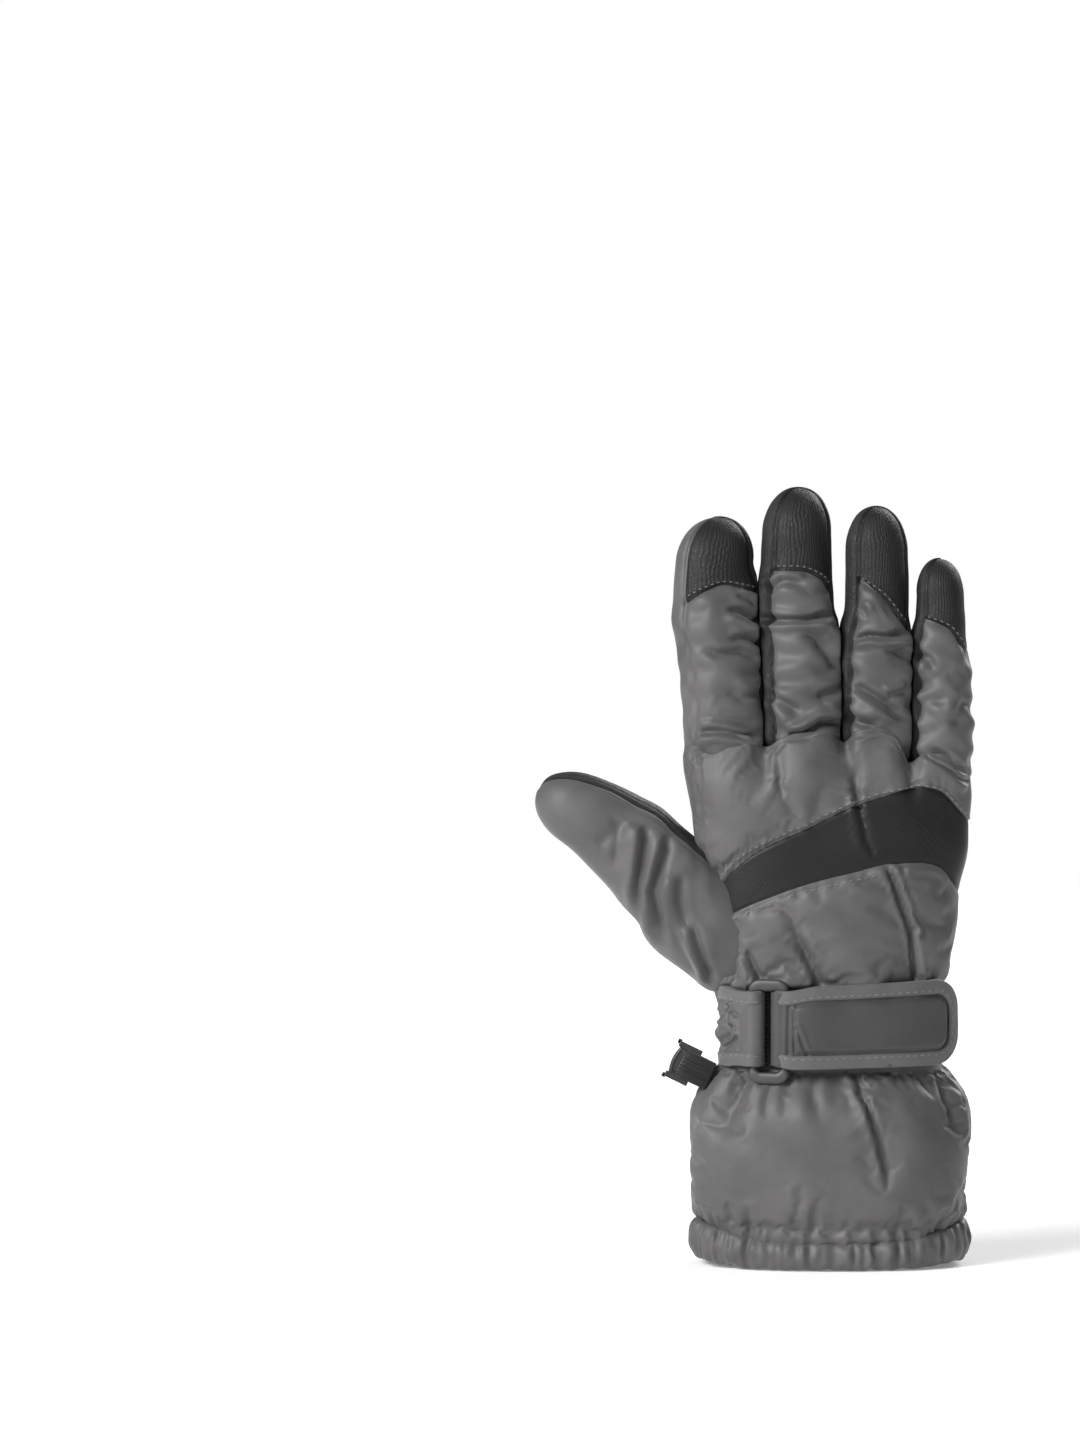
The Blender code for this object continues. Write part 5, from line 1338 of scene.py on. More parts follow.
def build_hem():
    """Stuffed roll round the mouth of the cuff, with small gathers."""
    nj = 420
    us = np.linspace(0, 2 * math.pi, nj, endpoint=False)
    prof = []
    top = hem_z(us)
    bot = 0.4 + 1.9 * (np.abs(np.cos(us))) ** 3
    arc = us * 41.0
    gather = np.sin(arc * 1.05 + 1.7 * np.sin(arc * 0.11)) + 0.5 * np.sin(arc * 1.93 + 1.0)
    tuck = tucks(us)
    ang = np.linspace(math.radians(100), math.radians(-200), 30)
    base = body_pt(us, np.full(nj, 11.0), 0.0)
    N0 = np.stack([base[:, 0] / 50.0 ** 2, base[:, 1] / 30.5 ** 2, 0 * us], -1)
    N0 /= np.linalg.norm(N0, axis=1, keepdims=True)
    for k, a in enumerate(ang):
        ca, sa = math.cos(a), math.sin(a)
        zc, hz = (top + bot) / 2, (top - bot) / 2
        out = -3.4 + 3.5 * ca if ca > 0 else -3.4 + 3.0 * ca
        ripple = (0.26 * gather - 0.85 * tuck) * (max(0.0, ca) + 0.55 * max(0.0, sa))
        zz = zc + hz * sa * 1.0
        pt = base + N0 * (out + ripple)[:, None]
        pt[:, 2] = np.maximum(zz, bot * 0 + 0.02 + np.clip(bot - 0.4, 0, 9))
        prof.append(pt)
    P = np.stack(prof)
    N = outward(P, normals(P))
    # point the normals away from the roll's own core
    core = P.mean(0, keepdims=True)
    sgn = np.sign(np.mean(np.sum((P - core) * N, -1)))
    N = N * sgn
    P = P + N * (0.18 * Waves(41, 7.0)(P))[..., None]
    P[..., 2] = np.maximum(P[..., 2], 0.02)
    N = normals(P)
    N *= np.sign(np.mean(np.sum((P - P.mean(0, keepdims=True)) * N, -1)))
    return dict(P=P, N=N, uv=arc_uv(P), nj=nj)


EG = build_hem()
hem = cut("v_cuff_hem", EG, 0, EG["P"].shape[0] - 1, 0, EG["nj"], M["satin"])
finish_piece(hem, "cuff", ["cuff_hem_roll"])

# ============================================================================
# Small shapes: stitches, tubes, moulded blocks
# ============================================================================
def stitches(name, line, nrm, body, mat, length=2.3, gap=1.0, r=0.21, lift=0.10, every=None):
    """Row of thread stitches along a line of surface points with their normals."""
    line = np.asarray(line, float)
    nrm = np.asarray(nrm, float)
    seg = np.linalg.norm(np.diff(line, axis=0), axis=1)
    s = np.concatenate([[0], np.cumsum(seg)])
    n = int((s[-1] - gap) // (length + gap))
    if n < 1:
        return None
    step = (s[-1] - gap) / n
    V, F = [], []
    t = np.linspace(0, 1, 6)
    a = np.linspace(0, 2 * math.pi, 6, endpoint=False)
    for k in range(n):
        x = gap + k * step + t * (step - gap)
        c = np.stack([np.interp(x, s, line[:, i]) for i in range(3)], -1)
        m = np.stack([np.interp(x, s, nrm[:, i]) for i in range(3)], -1)
        m /= np.linalg.norm(m, axis=1, keepdims=True)
        d = np.gradient(c, axis=0)
        d /= np.linalg.norm(d, axis=1, keepdims=True)
        b = np.cross(d, m)
        c = c + m * (lift - 0.42 * (2 * t - 1) ** 6)[:, None]
        rr = r * np.sqrt(np.clip(1 - (np.abs(2 * t - 1)) ** 5, 0.12, 1))
        base = len(V) * 1
        ring = c[:, None] + rr[:, None, None] * (np.cos(a)[None, :, None] * b[:, None] * 1.15 + np.sin(a)[None, :, None] * m[:, None] * 0.85)
        o = sum(len(v) for v in V)
        V.append(ring.reshape(-1, 3))
        for i in range(5):
            for j in range(6):
                F.append((o + i * 6 + j, o + i * 6 + (j + 1) % 6, o + (i + 1) * 6 + (j + 1) % 6, o + (i + 1) * 6 + j))
        F.append(tuple(o + j for j in range(5, -1, -1)))
        F.append(tuple(o + 30 + j for j in range(6)))
    V = np.concatenate(V)
    ob = mesh_object(name, V, F, None, V[:, [0, 2]], mat)
    return finish_piece(ob, body, [])


def grid_mesh(name, P, mat, closed_u=False, closed_v=False, cap=False, uv=None, body=None, nodes=()):
    """Grid P[i, j]: j runs round when closed_u, i runs round when closed_v."""
    ni, nj = P.shape[:2]
    F = []
    ii = ni if closed_v else ni - 1
    jj = nj if closed_u else nj - 1
    for i in range(ii):
        for j in range(jj):
            F.append((i * nj + j, i * nj + (j + 1) % nj, ((i + 1) % ni) * nj + (j + 1) % nj, ((i + 1) % ni) * nj + j))
    if cap:
        F.append(tuple(range(nj - 1, -1, -1)))
        F.append(tuple((ni - 1) * nj + j for j in range(nj)))
    if uv is None:
        du = np.linalg.norm(np.diff(P, axis=1, prepend=P[:, :1]), axis=-1).cumsum(1)
        dv = np.linalg.norm(np.diff(P, axis=0, prepend=P[:1]), axis=-1).cumsum(0)
        uv = np.stack([du, dv], -1)
    flat = P.reshape(-1, 3)
    cen = P.mean(1, keepdims=True) if closed_u else P.mean((0, 1), keepdims=True)
    Fa = np.array([f for f in F if len(f) == 4])
    fc = flat[Fa].mean(1)
    fn = np.cross(flat[Fa[:, 1]] - flat[Fa[:, 0]], flat[Fa[:, 2]] - flat[Fa[:, 0]])
    if closed_u:
        cc = np.repeat(P.mean(1)[:, None], nj, 1).reshape(-1, 3)[Fa].mean(1)
        if np.sum(fn * (fc - cc)) < 0:
            F = [f[::-1] for f in F]
    ob = mesh_object(name, P, F, None, uv, mat)
    if body is not None:
        finish_piece(ob, body, list(nodes))
    return ob


import bmesh


def block_bm(bm, center, half, axes, bevel=0.4, seg=3):
    """Adds a block with rounded edges to bm."""
    tmp = bmesh.new()
    bmesh.ops.create_cube(tmp, size=2.0)
    for v in tmp.verts:
        p = np.asarray(center) + axes[0] * (half[0] * v.co.x) + axes[1] * (half[1] * v.co.y) + axes[2] * (half[2] * v.co.z)
        v.co = p
    if np.dot(np.cross(axes[0], axes[1]), axes[2]) < 0:
        bmesh.ops.reverse_faces(tmp, faces=tmp.faces)
    bmesh.ops.bevel(tmp, geom=tmp.edges[:] + tmp.verts[:], offset=bevel, segments=seg, profile=0.5, affect="EDGES")
    m = bpy.data.meshes.new("tmp")
    tmp.to_mesh(m)
    tmp.free()
    bm.from_mesh(m)
    bpy.data.meshes.remove(m)


def bm_object(name, bm, mat, body, nodes):
    bmesh.ops.recalc_face_normals(bm, faces=bm.faces)
    for v in bm.verts:
        v.co = Vector(((v.co.x + SX) * 0.001, v.co.y * 0.001, v.co.z * 0.001))
    me = bpy.data.meshes.new(name)
    bm.to_mesh(me)
    bm.free()
    me.polygons.foreach_set("use_smooth", [True] * len(me.polygons))
    me.set_sharp_from_angle(angle=math.radians(50))
    me.materials.append(mat)
    ob = bpy.data.objects.new(name, me)
    COLL.objects.link(ob)
    return finish_piece(ob, body, nodes)


# ============================================================================
# Wrist strap, ring, tab and strap base
# ============================================================================
RING_C = np.array([-22.9, -21.9])
ra = math.radians(-17.0)
RE = np.array([math.cos(ra), math.sin(ra)])
RN = np.array([math.sin(ra), -math.cos(ra)])
BAR_L, BAR_R = RING_C - RE * 5.6, RING_C + RE * 5.6
STRAP_PLAN = [(-15.0, -26.8), (-8.0, -27.0), (2.0, -25.8), (10.0, -24.7), (18.0, -23.5), (28.0, -20.8),
              (36.0, -16.6), (41.4, -12.4), (44.6, -9.0)]


def round_bar(bar, r, a0, a1, n):
    a = np.radians(np.linspace(a0, a1, n + 1))
    return [tuple(bar + RE * (r * math.cos(t)) + RN * (r * math.sin(t))) for t in a]


def spline(pts, step=0.4):
    """Smooth dense curve through the points (centripetal Catmull-Rom), with its arc length."""
    p = np.asarray(pts, float)
    p = np.concatenate([[2 * p[0] - p[1]], p, [2 * p[-1] - p[-2]]])
    out = []
    for i in range(1, len(p) - 2):
        p0, p1, p2, p3 = p[i - 1], p[i], p[i + 1], p[i + 2]
        t0 = 0.0
        t1 = t0 + max(1e-6, np.linalg.norm(p1 - p0)) ** 0.5
        t2 = t1 + max(1e-6, np.linalg.norm(p2 - p1)) ** 0.5
        t3 = t2 + max(1e-6, np.linalg.norm(p3 - p2)) ** 0.5
        n = max(2, int(np.linalg.norm(p2 - p1) / step))
        t = np.linspace(t1, t2, n, endpoint=False)[:, None]
        A1 = (t1 - t) / (t1 - t0) * p0 + (t - t0) / (t1 - t0) * p1
        A2 = (t2 - t) / (t2 - t1) * p1 + (t - t1) / (t2 - t1) * p2
        A3 = (t3 - t) / (t3 - t2) * p2 + (t - t2) / (t3 - t2) * p3
        B1 = (t2 - t) / (t2 - t0) * A1 + (t - t0) / (t2 - t0) * A2
        B2 = (t3 - t) / (t3 - t1) * A2 + (t - t1) / (t3 - t1) * A3
        out.append((t2 - t) / (t2 - t1) * B1 + (t - t1) / (t2 - t1) * B2)
    out = np.concatenate(out + [p[-2][None]])
    s = np.concatenate([[0], np.cumsum(np.linalg.norm(np.diff(out, axis=0), axis=1))])
    return out, s


class Ribbon:
    """Upright ribbon along a plan curve: point(a, z, off) with a = length along it and off = outwards."""

    def __init__(self, pts, flip=1):
        self.c, self.s = spline(pts)
        d = np.gradient(self.c, axis=0)
        d /= np.linalg.norm(d, axis=1, keepdims=True)
        self.n = np.stack([d[:, 1], -d[:, 0]], -1) * flip
        self.L = self.s[-1]

    def point(self, a, z, off):
        a, z, off = np.broadcast_arrays(np.asarray(a, float), np.asarray(z, float), np.asarray(off, float))
        x = np.interp(a, self.s, self.c[:, 0])
        y = np.interp(a, self.s, self.c[:, 1])
        nx = np.interp(a, self.s, self.n[:, 0])
        ny = np.interp(a, self.s, self.n[:, 1])
        r = np.maximum(np.hypot(nx, ny), 1e-6)
        return np.stack([x + nx / r * off, y + ny / r * off, z], -1)

    def normal(self, a):
        nx = np.interp(a, self.s, self.n[:, 0])
        ny = np.interp(a, self.s, self.n[:, 1])
        r = np.hypot(nx, ny)
        return np.stack([nx / r, ny / r, 0 * nx], -1)

    def at_x(self, x):
        k = np.nonzero(self.c[:, 0] > x)[0]
        return self.s[k[0]] if len(k) else self.L


def rim_path(a0, a1, zlo, zhi, r, ends=(False, True), step=0.7):
    """Outline points (a, z) from the lower left end along the bottom, round the end and back along the top,
    with the way inwards at each point."""
    pts, inn = [], []
    for a in np.arange(a0, a1 - r, step):
        pts.append((a, zlo(a))); inn.append((0, 1))
    z0, z1 = zlo(a1), zhi(a1)
    for t in np.linspace(-90, 0, 14)[:-1]:
        c, s_ = math.cos(math.radians(t)), math.sin(math.radians(t))
        pts.append((a1 - r + r * c, z0 + r + r * s_)); inn.append((-c, -s_))
    for z in np.arange(z0 + r, z1 - r, step):
        pts.append((a1, z)); inn.append((-1, 0))
    for t in np.linspace(0, 90, 14):
        c, s_ = math.cos(math.radians(t)), math.sin(math.radians(t))
        pts.append((a1 - r + r * c, z1 - r + r * s_)); inn.append((-c, -s_))
    for a in np.arange(a1 - r, a0, -step)[1:]:
        pts.append((a, zhi(a))); inn.append((0, -1))
    return np.array(pts), np.array(inn)


def binding(name, rib, path, inn, half, wide_out, wide_in, body, mat, thick=0.55, nodes=(), back=True):
    """Fold of tape over the edge: outside wide_out wide, inside wide_in wide."""
    prof = []
    for d in np.linspace(wide_out, 0.6, 12):
        e = d / wide_out
        prof.append((d, half + thick * (0.62 + 0.38 * math.sin(math.pi * min(1, 1 - e + 0.25)) if e < 0.97 else 0.15)))
    for t in np.linspace(75, -75, 7):
        prof.append((0.6 - 0.6 * math.cos(math.radians(t)), (half + thick * 0.75) * math.sin(math.radians(t))))
    for d in np.linspace(0.6, wide_in, 5):
        prof.append((d, -half - thick * 0.6))
    prof = np.array(prof)
    A = path[:, 0][:, None] + inn[:, 0][:, None] * prof[:, 0][None]
    Z = path[:, 1][:, None] + inn[:, 1][:, None] * prof[:, 0][None]
    O = np.broadcast_to(prof[:, 1][None], A.shape)
    w = Waves(77, 9.0)
    P = rib.point(A, Z, O)
    P = P + (0.07 * w(P))[..., None] * rib.normal(A)
    ob = grid_mesh(name, P, mat, uv=np.stack([A, Z], -1))
    # make the faces look outwards
    me_ = ob.data
    c = np.array(me_.polygons[len(prof) // 3].normal)
    nn = rib.normal(np.array([path[0, 0]]))[0]
    if c @ nn < 0:
        me_.flip_normals()
    finish_piece(ob, body, list(nodes))
    d = wide_out - 1.15
    ln = rib.point(path[:, 0] + inn[:, 0] * d, path[:, 1] + inn[:, 1] * d, half + thick * 0.78)
    stitches(name + "_stitch", ln, rib.normal(path[:, 0] + inn[:, 0] * d), body, M["thread"], 2.0, 0.9, 0.19, 0.12)
    return ob


fold = [tuple(BAR_R + RE * 3.4 - RN * 2.35)] + round_bar(BAR_R, 2.35, -100, -262, 6) + [tuple(BAR_R + RE * 1.2 + RN * 2.5)]
SR = Ribbon(fold + STRAP_PLAN[0:], 1)
# the ribbon turns round the bar first, so outside is away from the hand on the front run
aF = SR.at_x(-8.0)
if SR.normal(np.array([SR.L * 0.6]))[0][1] > 0:
    SR.n *= -1
aBar = 3.4 + math.pi * 2.35 * 0.9
strapB = ("ring", "strap_tail", m3(-18.0, -26.5, 87), m3(-11.0, -26.9, 87))
k0 = SR.at_x(-9.0)
s_lo = lambda a: 71.3 + 1.1 * smooth(aBar, SR.L, a) + 0.9 * (1 - smooth(aBar - 1, aBar + 5, a))
s_hi = lambda a: 99.3 + 1.7 * smooth(aBar + 2, aBar + 14, a) + 2.0 * smooth(aBar + 8, SR.L, a)
ST = 0.85
# core: flat sheet with a raised, round-ended panel
na, nz = 190, 64
aa = np.linspace(0.0, SR.L - 0.6, na)
vv = np.linspace(-1, 1, nz)
zl, zh = s_lo(aa), s_hi(aa)
rr_ = 11.0
end = np.clip((aa - (SR.L - 0.6 - rr_)) / rr_, 0, 1)
inset = rr_ * (1 - np.sqrt(np.clip(1 - end ** 2, 0, 1)))
zl2, zh2 = zl + 0.6 + inset, zh - 0.6 - inset
A = aa[:, None] * np.ones((1, nz))
Z = (zl2 + zh2)[:, None] / 2 + (zh2 - zl2)[:, None] / 2 * vv[None]
# distance inside the outline
dz = np.minimum(Z - s_lo(A), s_hi(A) - Z)
da = SR.L - A
dd = np.minimum(dz, da)
corner = (da < rr_) & (dz < rr_)
dd = np.where(corner, rr_ - np.hypot(rr_ - np.minimum(da, rr_), rr_ - np.minimum(dz, rr_)), dd)
panel = smooth(5.6, 7.4, dd) * smooth(aBar + 4.5, aBar + 7.0, A)
off = ST + 0.75 * panel - 0.35 * gauss((dd - 5.3) / 0.7) * smooth(aBar + 2, aBar + 6, A)
# folds at the ring end: two upright and one slanting
def fold_line(A, Z, p, q, depth, w):
    D, Al, S = seg_dist(A, Z, [p, q])
    return -depth * gauss(D / w) + 0.6 * depth * gauss((D - 2.2 * w) / (1.2 * w))
front = smooth(aBar, aBar + 2, A)
off = off + front * (fold_line(A, Z, (aBar + 3.0, 77.0), (aBar + 3.4, 94.0), 0.55, 0.55)
                     + fold_line(A, Z, (aBar + 5.2, 78.0), (aBar + 4.6, 92.0), 0.4, 0.5)
                     + fold_line(A, Z, (aBar + 6.0, 86.0), (aBar + 9.6, 76.5), 0.5, 0.6))
aS = SR.s[int(np.argmin(SR.c[:, 0]))]       # where the fold faces the slot of the ring: it is full there
off = off + 1.5 * gauss((A - aS) / 2.6)
off = off + 0.14 * Waves(81, 16.0)(np.stack([A, Z, 0 * A], -1)) * front
off = off + 0.26 * np.sin((A - aBar - 0.46 * (SR.L - aBar)) * 2 * math.pi / 27.0 + 0.03 * (Z - 86)) * panel
Pf = SR.point(A, Z, off)
Pb = SR.point(A, Z, -ST)
loop = np.concatenate([Pf, Pb[:, ::-1]], 1)
uvl = np.stack([np.concatenate([A, A[:, ::-1]], 1), np.concatenate([Z, Z[:, ::-1]], 1)], -1)
core = grid_mesh("v_strap_core", loop, M["strap"], closed_u=True, cap=True, uv=uvl)
finish_piece(core, strapB, ["cinch_strap", "strap_fold"])
pth, inn = rim_path(0.0, SR.L, s_lo, s_hi, rr_)
binding("v_strap_binding", SR, pth, inn, ST, 5.0, 4.0, strapB, M["binding"])

# hook patch on the tail's inner face
A = np.linspace(SR.at_x(-4.0), SR.L - 5.0, 90)[:, None] * np.ones((1, 40))
Z = 87.0 + np.linspace(-1, 1, 40)[None] * (10.2 - 2.5 * smooth(SR.L - 12, SR.L - 5, A)) + 0 * A
hk = -ST - 0.55 - 0.35 * np.abs(np.sin(A * 4.1)) * np.abs(np.sin(Z * 4.1))
Pf, Pb = SR.point(A, Z, hk), SR.point(A, Z, -ST + 0.1)
loop = np.concatenate([Pf, Pb[:, ::-1]], 1)
grid_mesh("v_strap_hook_patch", loop, M["hook"], closed_u=True, cap=True, body="strap_tail", nodes=["strap_hook_patch"])


def sup(u, n):
    return sp(np.cos(u), n), sp(np.sin(u), n)


# moulded ring: rounded rectangle with a rounded bar all the way round
hx, hz, rc = 5.6, 17.65 - 1.15, 2.6
path = []
for cx_s, cz_s, a0 in ((1, 1, 0), (-1, 1, 90), (-1, -1, 180), (1, -1, 270)):
    for t in np.linspace(a0, a0 + 90, 9):
        path.append((cx_s * (hx - rc) + rc * math.cos(math.radians(t)), cz_s * (hz - rc) + rc * math.sin(math.radians(t))))
    if cx_s == cz_s:
        nxt = -cx_s
        for q in np.linspace(0.12, 0.88, 6):
            path.append((cx_s * (hx - rc) * (1 - 2 * q), cz_s * hz))
    else:
        for q in np.linspace(0.03, 0.97, 26):
            path.append((cx_s * hx, cz_s * (hz - rc) * (1 - 2 * q)))
path = np.array(path)
d = np.roll(path, -1, 0) - np.roll(path, 1, 0)
d /= np.linalg.norm(d, axis=1, keepdims=True)
outw = np.stack([d[:, 1], -d[:, 0]], -1)
endf = smooth(hz - 4.2, hz - 1.0, np.abs(path[:, 1]))
cs, sn = sup(np.linspace(0, 2 * math.pi, 16, endpoint=False), 2.7)
wid = 1.0 + 1.15 * endf
thk = 0.95 + 0.35 * endf
E3, N3, Z3 = np.array([RE[0], RE[1], 0]), np.array([RN[0], RN[1], 0]), np.array([0, 0, 1.0])
C3 = np.array([RING_C[0], RING_C[1], 84.55])
P = C3 + (path[:, 0][:, None] + outw[:, 0][:, None] * wid[:, None] * cs[None])[..., None] * E3 \
    + (path[:, 1][:, None] + outw[:, 1][:, None] * wid[:, None] * cs[None])[..., None] * Z3 \
    + (thk[:, None] * sn[None])[..., None] * N3
ring_o = grid_mesh("v_wrist_ring", P, M["ringp"], closed_u=True, closed_v=True)
finish_piece(ring_o, "ring", ["wrist_ring"])


def surf(x, z, off):
    u = np.linspace(0.02, math.pi - 0.02, 400)
    p = body_pt(u, np.full(400, z), off)
    k = np.argmin(np.abs(p[:, 0] - x))
    return (p[k, 0], p[k, 1])


TAB = [surf(-39.3, 86, 1.2), surf(-38.6, 86, 2.0), surf(-36.6, 86, 3.0), surf(-33.4, 86, 4.0)] + round_bar(BAR_L, 2.35, 112, -84, 7) \
    + [tuple(BAR_L - RE * 2.6 - RN * 2.3)]
TR = Ribbon(TAB, 1)
if TR.normal(np.array([4.0]))[0][1] > 0:
    TR.n *= -1
t_lo = lambda a: 71.6 + 0 * a + 0.6 * smooth(8, 14, a)
t_hi = lambda a: 100.3 - 1.3 * smooth(6, 14, a)
na, nz = 80, 70
A = np.linspace(0.3, TR.L, na)[:, None] * np.ones((1, nz))
Z = t_lo(A) + 0.4 + (t_hi(A) - t_lo(A) - 0.8) * np.linspace(0, 1, nz)[None]
wr = 0.55 * Waves(91, 7.5)(np.stack([A, Z, 0 * A], -1))
fr2 = 1 - smooth(13.5, 17, A)
off = ST * 0.8 + fr2 * (wr + fold_line(A, Z, (2.0, 90.0), (8.5, 87.5), 1.0, 0.7) + fold_line(A, Z, (9.5, 94.5), (6.5, 89.0), 0.9, 0.6)
                        + fold_line(A, Z, (7.0, 93.5), (13.0, 90.0), 0.8, 0.7) + fold_line(A, Z, (7.5, 78.5), (13.5, 82.0), 0.9, 0.7)
                        + fold_line(A, Z, (10.0, 94.5), (11.0, 84.0), 0.7, 0.6) + fold_line(A, Z, (6.0, 87.0), (12.5, 85.5), 0.6, 0.7)
                        + fold_line(A, Z, (2.5, 80.0), (9.0, 82.5), 0.8, 0.8) + fold_line(A, Z, (3.2, 77.0), (3.2, 95.0), 0.8, 0.5)) * smooth(4.4, 6.2, np.minimum(Z - 71.6, 100.3 - Z))
aT = TR.s[int(np.argmax(TR.c[:, 0]))]
off = off + 1.0 * gauss((A - aT) / 2.2)
Pf, Pb = TR.point(A, Z, off), TR.point(A, Z, -ST * 0.8)
loop = np.concatenate([Pf, Pb[:, ::-1]], 1)
uvl = np.stack([np.concatenate([A, A[:, ::-1]], 1), np.concatenate([Z, Z[:, ::-1]], 1)], -1)
tabc = grid_mesh("v_anchor_tab", loop, M["satin"], closed_u=True, cap=True, uv=uvl)
finish_piece(tabc, "hand", ["strap_anchor_tab"])
for nm, z_edge, sgn in (("v_tab_binding_top", t_hi, -1), ("v_tab_binding_bottom", t_lo, 1)):
    a_ = np.linspace(0.2, TR.L, 60)
    pth = np.stack([a_, z_edge(a_)], -1)
    binding(nm, TR, pth, np.tile([0.0, float(sgn)], (60, 1)), ST * 0.8, 4.9, 3.0, "hand", M["binding"])

# webbing base that carries the loops, from the palm side round the little-finger side
uu = np.linspace(-0.62, 2.36, 180)
hh = 9.2 + 3.4 * smooth(-0.35, 0.25, uu) + 2.0 * smooth(1.85, 2.0, uu)
endr = np.sqrt(np.clip(1 - np.clip((-0.42 - uu) / 0.20, 0, 1) ** 2, 0.02, 1))
vv = np.linspace(-1, 1, 50)
Z = 86.0 + hh[:, None] * endr[:, None] * vv[None]
U = uu[:, None] * np.ones((1, 50))
edge = smooth(1.0, 0.90, np.abs(vv))[None] * np.ones_like(U)
thin = smooth(1.6, 1.9, U)
Pf = body_pt(U, Z, 1.15 - 0.2 * thin + (0.75 - 0.45 * thin) * edge + 0.16 * np.sin(Z * 2 * math.pi / 1.5) * edge)
Pb = body_pt(U, Z, 0.7)
loop = np.concatenate([Pf, Pb[:, ::-1]], 1)
arc = (uu * 38.0)[:, None] * np.ones((1, 50))
uvl = np.stack([np.concatenate([Z, Z[:, ::-1]], 1), np.concatenate([arc, arc[:, ::-1]], 1)], -1)
bo = grid_mesh("v_strap_base", loop, M["webbing"], closed_u=True, cap=True, uv=uvl)
finish_piece(bo, "hand", ["strap_base_loop"])

# ============================================================================
# Clip and its webbing loop
# ============================================================================
ca = math.radians(26.0)
CP = np.array([-math.cos(ca), 0, math.sin(ca)])
CW = np.array([math.sin(ca), 0, math.cos(ca)])
CN = np.array([0, -1.0, 0])
CO = np.array([-51.6, -7.0, 71.6])
bm = bmesh.new()
block_bm(bm, CO, (0.95, 0.95, 6.3), (CP, CN, CW), 0.45)
for sg in (1, -1):
    block_bm(bm, CO + CP * 1.3 + CW * sg * 5.9, (4.0, 1.35, 0.62), (CP, CN, CW), 0.35)
    # outer rails run past the body and end in a small prong
    block_bm(bm, CO + CP * 2.6 + CW * sg * 6.35, (3.6, 0.8, 0.33), (CP, CN, CW), 0.2)
    block_bm(bm, CO + CP * 5.9 + CW * sg * 6.75, (0.45, 0.8, 0.5), (CP, CN, CW), 0.18)
clipb = bm_object("v_clip_frame", bm, M["plastic"], "clip", ["clip_body"])
# body plate with a gently curved outer end, hollowed on its face
ns_, nw_ = 26, 34
S_ = np.linspace(0.6, 1.0, ns_)
x_in = 0.9
W_ = np.linspace(-1, 1, nw_)
Xo = 4.8 + 0.9 * np.cos(W_ * math.pi / 2)
Xc = x_in + (Xo - x_in)[None] * np.linspace(0, 1, ns_)[:, None]
Wc = 5.3 * W_[None] * np.ones((ns_, 1))
rim = np.minimum(np.minimum(Xc - x_in, Xo[None] - Xc), 5.3 - np.abs(Wc))
hgt = 1.30 * np.sqrt(np.clip(1 - np.clip(1 - rim / 0.7, 0, 1) ** 2, 0, 1)) - 0.40 * smooth(0.9, 1.5, rim)
Pf = CO + Xc[..., None] * CP + Wc[..., None] * CW + hgt[..., None] * CN
Pb = CO + Xc[..., None] * CP + Wc[..., None] * CW - hgt[..., None] * CN
loop = np.concatenate([Pf, Pb[:, ::-1]], 1)
pl = grid_mesh("v_clip_plate", loop, M["plastic"], closed_u=True, cap=True)
finish_piece(pl, "clip", [])
pts = [(-9.4, 1.2), (-5.0, 1.75), (0.0, 2.0)] + [(2.0 * math.cos(math.radians(90 - 30 * k)), 2.0 * math.sin(math.radians(90 - 30 * k))) for k in range(1, 6)] \
    + [(0.0, -2.0), (-5.0, -1.75), (-9.4, -1.2)]
c2d, s2d = spline(pts, 0.25)
dd_ = np.gradient(c2d, axis=0)
dd_ /= np.linalg.norm(dd_, axis=1, keepdims=True)
nn_ = np.stack([-dd_[:, 1], dd_[:, 0]], -1)
wv_ = np.linspace(-1, 1, 60)
rib_ = 0.12 * np.sin(wv_ * 5.3 * 2 * math.pi / 1.25)
edge = smooth(1.0, 0.9, np.abs(wv_))
def web_pt(o):
    q = c2d[:, None] + nn_[:, None] * o[..., None]
    return CO + q[..., 0][..., None] * CP + q[..., 1][..., None] * CN + (wv_ * 5.1)[None, :, None] * CW
Pf = web_pt((0.15 + 0.33 * edge + rib_ * edge)[None] * np.ones((len(c2d), 1)))
Pb = web_pt(-(0.15 + 0.33 * edge + rib_ * edge)[None] * np.ones((len(c2d), 1)))
loop = np.concatenate([Pf, Pb[:, ::-1]], 1)
wo = grid_mesh("v_clip_webbing", loop, M["webbing"], closed_u=True, cap=True,
               uv=np.stack([np.concatenate([wv_ * 5.3, wv_[::-1] * 5.3])[None] * np.ones((len(c2d), 1)), s2d[:, None] * np.ones((1, 120))], -1))
finish_piece(wo, "hand", ["clip_webbing"])

# ============================================================================
# Linings and elastics inside
# ============================================================================
def lining(name, z0, z1, off, body, nodes, nseg=60, seed=51):
    us = np.linspace(0, 2 * math.pi, 220, endpoint=False)
    Z = np.linspace(z0, z1, nseg)[:, None] * np.ones((1, 220))
    P = body_pt(us[None] + 0 * Z, Z, off)
    N = outward(P, normals(P))
    d = 0.35 * Waves(seed, 4.2)(P) + 0.3 * Waves(seed + 1, 12.0)(P)
    P = P + N * d[..., None]
    G = dict(P=P, N=-outward(P, normals(P)), uv=arc_uv(P))
    ob = cut(name, G, 0, nseg - 1, 0, 220, M["fleece"])
    return finish_piece(ob, body, nodes)


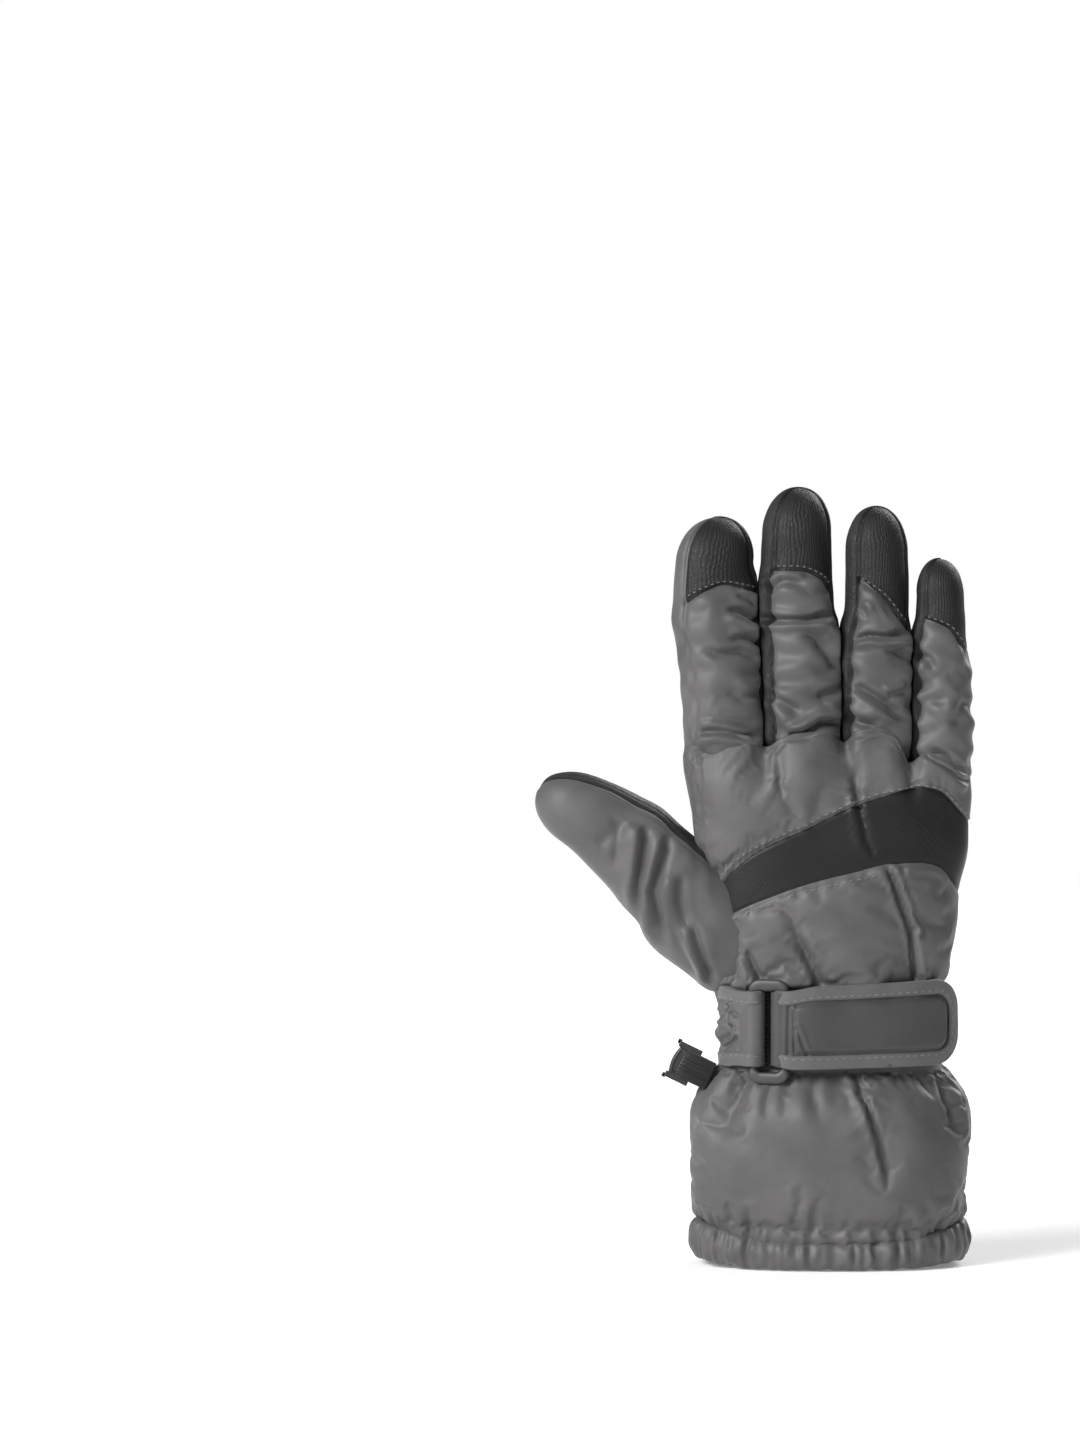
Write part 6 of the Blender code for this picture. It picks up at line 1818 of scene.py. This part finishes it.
lining("v_cuff_lining", 1.2, 66.0, -6.2, ("cuff", "hand", m3(0, 0, 56.0), m3(0, 0, 74.0)), ["cuff_lining"])
lining("v_hand_lining", 64.0, 150.0, -6.0, "hand", ["hand_lining"], 70, 53)
for nm in ("hem_elastic", "wrist_elastic"):
    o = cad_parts[nm]
    for sl in range(max(1, len(o.data.materials))):
        if len(o.data.materials):
            o.data.materials[sl] = M["elastic"]
        else:
            o.data.materials.append(M["elastic"])

# ============================================================================
# Stitch rows on the panels
# ============================================================================
nb, nj, ns = HG["nb"], HG["nj"], HG["ns"]


def row_line(G, i, j0, j1, step=1):
    js = [j % G["P"].shape[1] for j in range(j0, j1, step)]
    return G["P"][i, js], G["N"][i, js]


ln, nm_ = row_line(HG, rC + 3, 2, nb - 1)
stitches("v_stitch_band_upper", ln, nm_, "hand", M["thread"], 1.9, 0.9, 0.2, 0.12)
ln, nm_ = row_line(HG, rB - 3, 2, nb - 1)
keep = ln[:, 0] < 17.5
stitches("v_stitch_band_lower", ln[keep], nm_[keep], "hand", M["thread"], 1.9, 0.9, 0.2, 0.12)
for key, f in FINGERS.items():
    G = FG[key]
    topB = (key + "_root", key + "_end", m3(f["rows"][2][1], 0, f["mid"] - 8.0), m3(f["rows"][2][1], 0, f["mid"] + 8.0))
    ln, nm_ = row_line(G, G["ic"] + 3, 2 if key != "little" else int(np.argmin(np.abs(G["us"][:G["nb"]] + 0.34))) + 2, (G["js"] or G["nb"]) - 1)
    stitches("v_stitch_cap_" + key, ln, nm_, topB, M["thread"], 1.5, 0.8, 0.15, 0.05)

# ============================================================================
# Stage, light and camera
# ============================================================================
sc = bpy.context.scene
sc.view_settings.view_transform = "Standard"
me = bpy.data.meshes.new("floor")
me.from_pydata([(-3, -3, 0), (3, -3, 0), (3, 3, 0), (-3, 3, 0)], [], [(0, 1, 2, 3)])
floor = bpy.data.objects.new("floor", me)
COLL.objects.link(floor)
fm = bpy.data.materials.new("floor_white")
nt, NN, LL, bs = nodes_of(fm)
tc_ = new(nt, "ShaderNodeTexCoord", -600, 0)
fn = new(nt, "ShaderNodeTexNoise", -400, 0)
fn.inputs["Scale"].default_value = 4
LL.new(tc_.outputs["Object"], fn.inputs["Vector"])
fr_ = new(nt, "ShaderNodeMapRange", -200, 0)
fr_.inputs["To Min"].default_value = 0.93
fr_.inputs["To Max"].default_value = 0.96
LL.new(fn.outputs["Fac"], fr_.inputs["Value"])
LL.new(fr_.outputs["Result"], bs.inputs["Base Color"])
bs.inputs["Roughness"].default_value = 0.7
bs.inputs["Emission Color"].default_value = (1, 1, 1, 1)
bs.inputs["Emission Strength"].default_value = 0.2
me.materials.append(fm)

world = bpy.data.worlds.new("studio")
sc.world = world
world.use_nodes = True
bg = world.node_tree.nodes["Background"]
wt = world.node_tree
lp = wt.nodes.new("ShaderNodeLightPath")
mx = wt.nodes.new("ShaderNodeMapRange")
wt.links.new(lp.outputs["Is Camera Ray"], mx.inputs["Value"])
mx.inputs["To Min"].default_value = 0.225
mx.inputs["To Max"].default_value = 1.0
wt.links.new(mx.outputs["Result"], bg.inputs[1])
bg.inputs[0].default_value = (1, 1, 1, 1)


def area(name, loc, target, size, power, col=(1, 1, 1)):
    d = bpy.data.lights.new(name, "AREA")
    d.shape = "RECTANGLE"
    d.size, d.size_y = size
    d.energy = power
    d.color = col
    o = bpy.data.objects.new(name, d)
    COLL.objects.link(o)
    o.location = loc
    v = Vector(target) - Vector(loc)
    o.rotation_euler = v.to_track_quat("-Z", "Y").to_euler()
    return o


def sun(name, frm, power, angle):
    d = bpy.data.lights.new(name, "SUN")
    d.energy = power
    d.angle = math.radians(angle)
    o = bpy.data.objects.new(name, d)
    COLL.objects.link(o)
    o.rotation_euler = (-Vector(frm)).to_track_quat("-Z", "Y").to_euler()
    return o


sun("key", (-1.15, -0.93, 0.87), 3.8, 28)
sun("back", (0.75, 1.0, 0.8), 2.1, 34)
area("gloss", (-0.55, -0.9, 0.75), (0, 0, 0.14), (0.25, 0.7), 2.2)

cam_d = bpy.data.cameras.new("cam")
cam_d.sensor_fit = "VERTICAL"
cam_d.sensor_height = 36.0
dist = 1.8
cam_d.lens = 36.0 * dist / 0.517
cam = bpy.data.objects.new("cam", cam_d)
COLL.objects.link(cam)
cx_, cz_ = (-104.1 + SX) * 0.001, 0.195
cam.location = (cx_, -dist, cz_ + 0.02)
v = Vector((cx_, 0, cz_)) - Vector(cam.location)
cam.rotation_euler = v.to_track_quat("-Z", "Y").to_euler()
sc.camera = cam
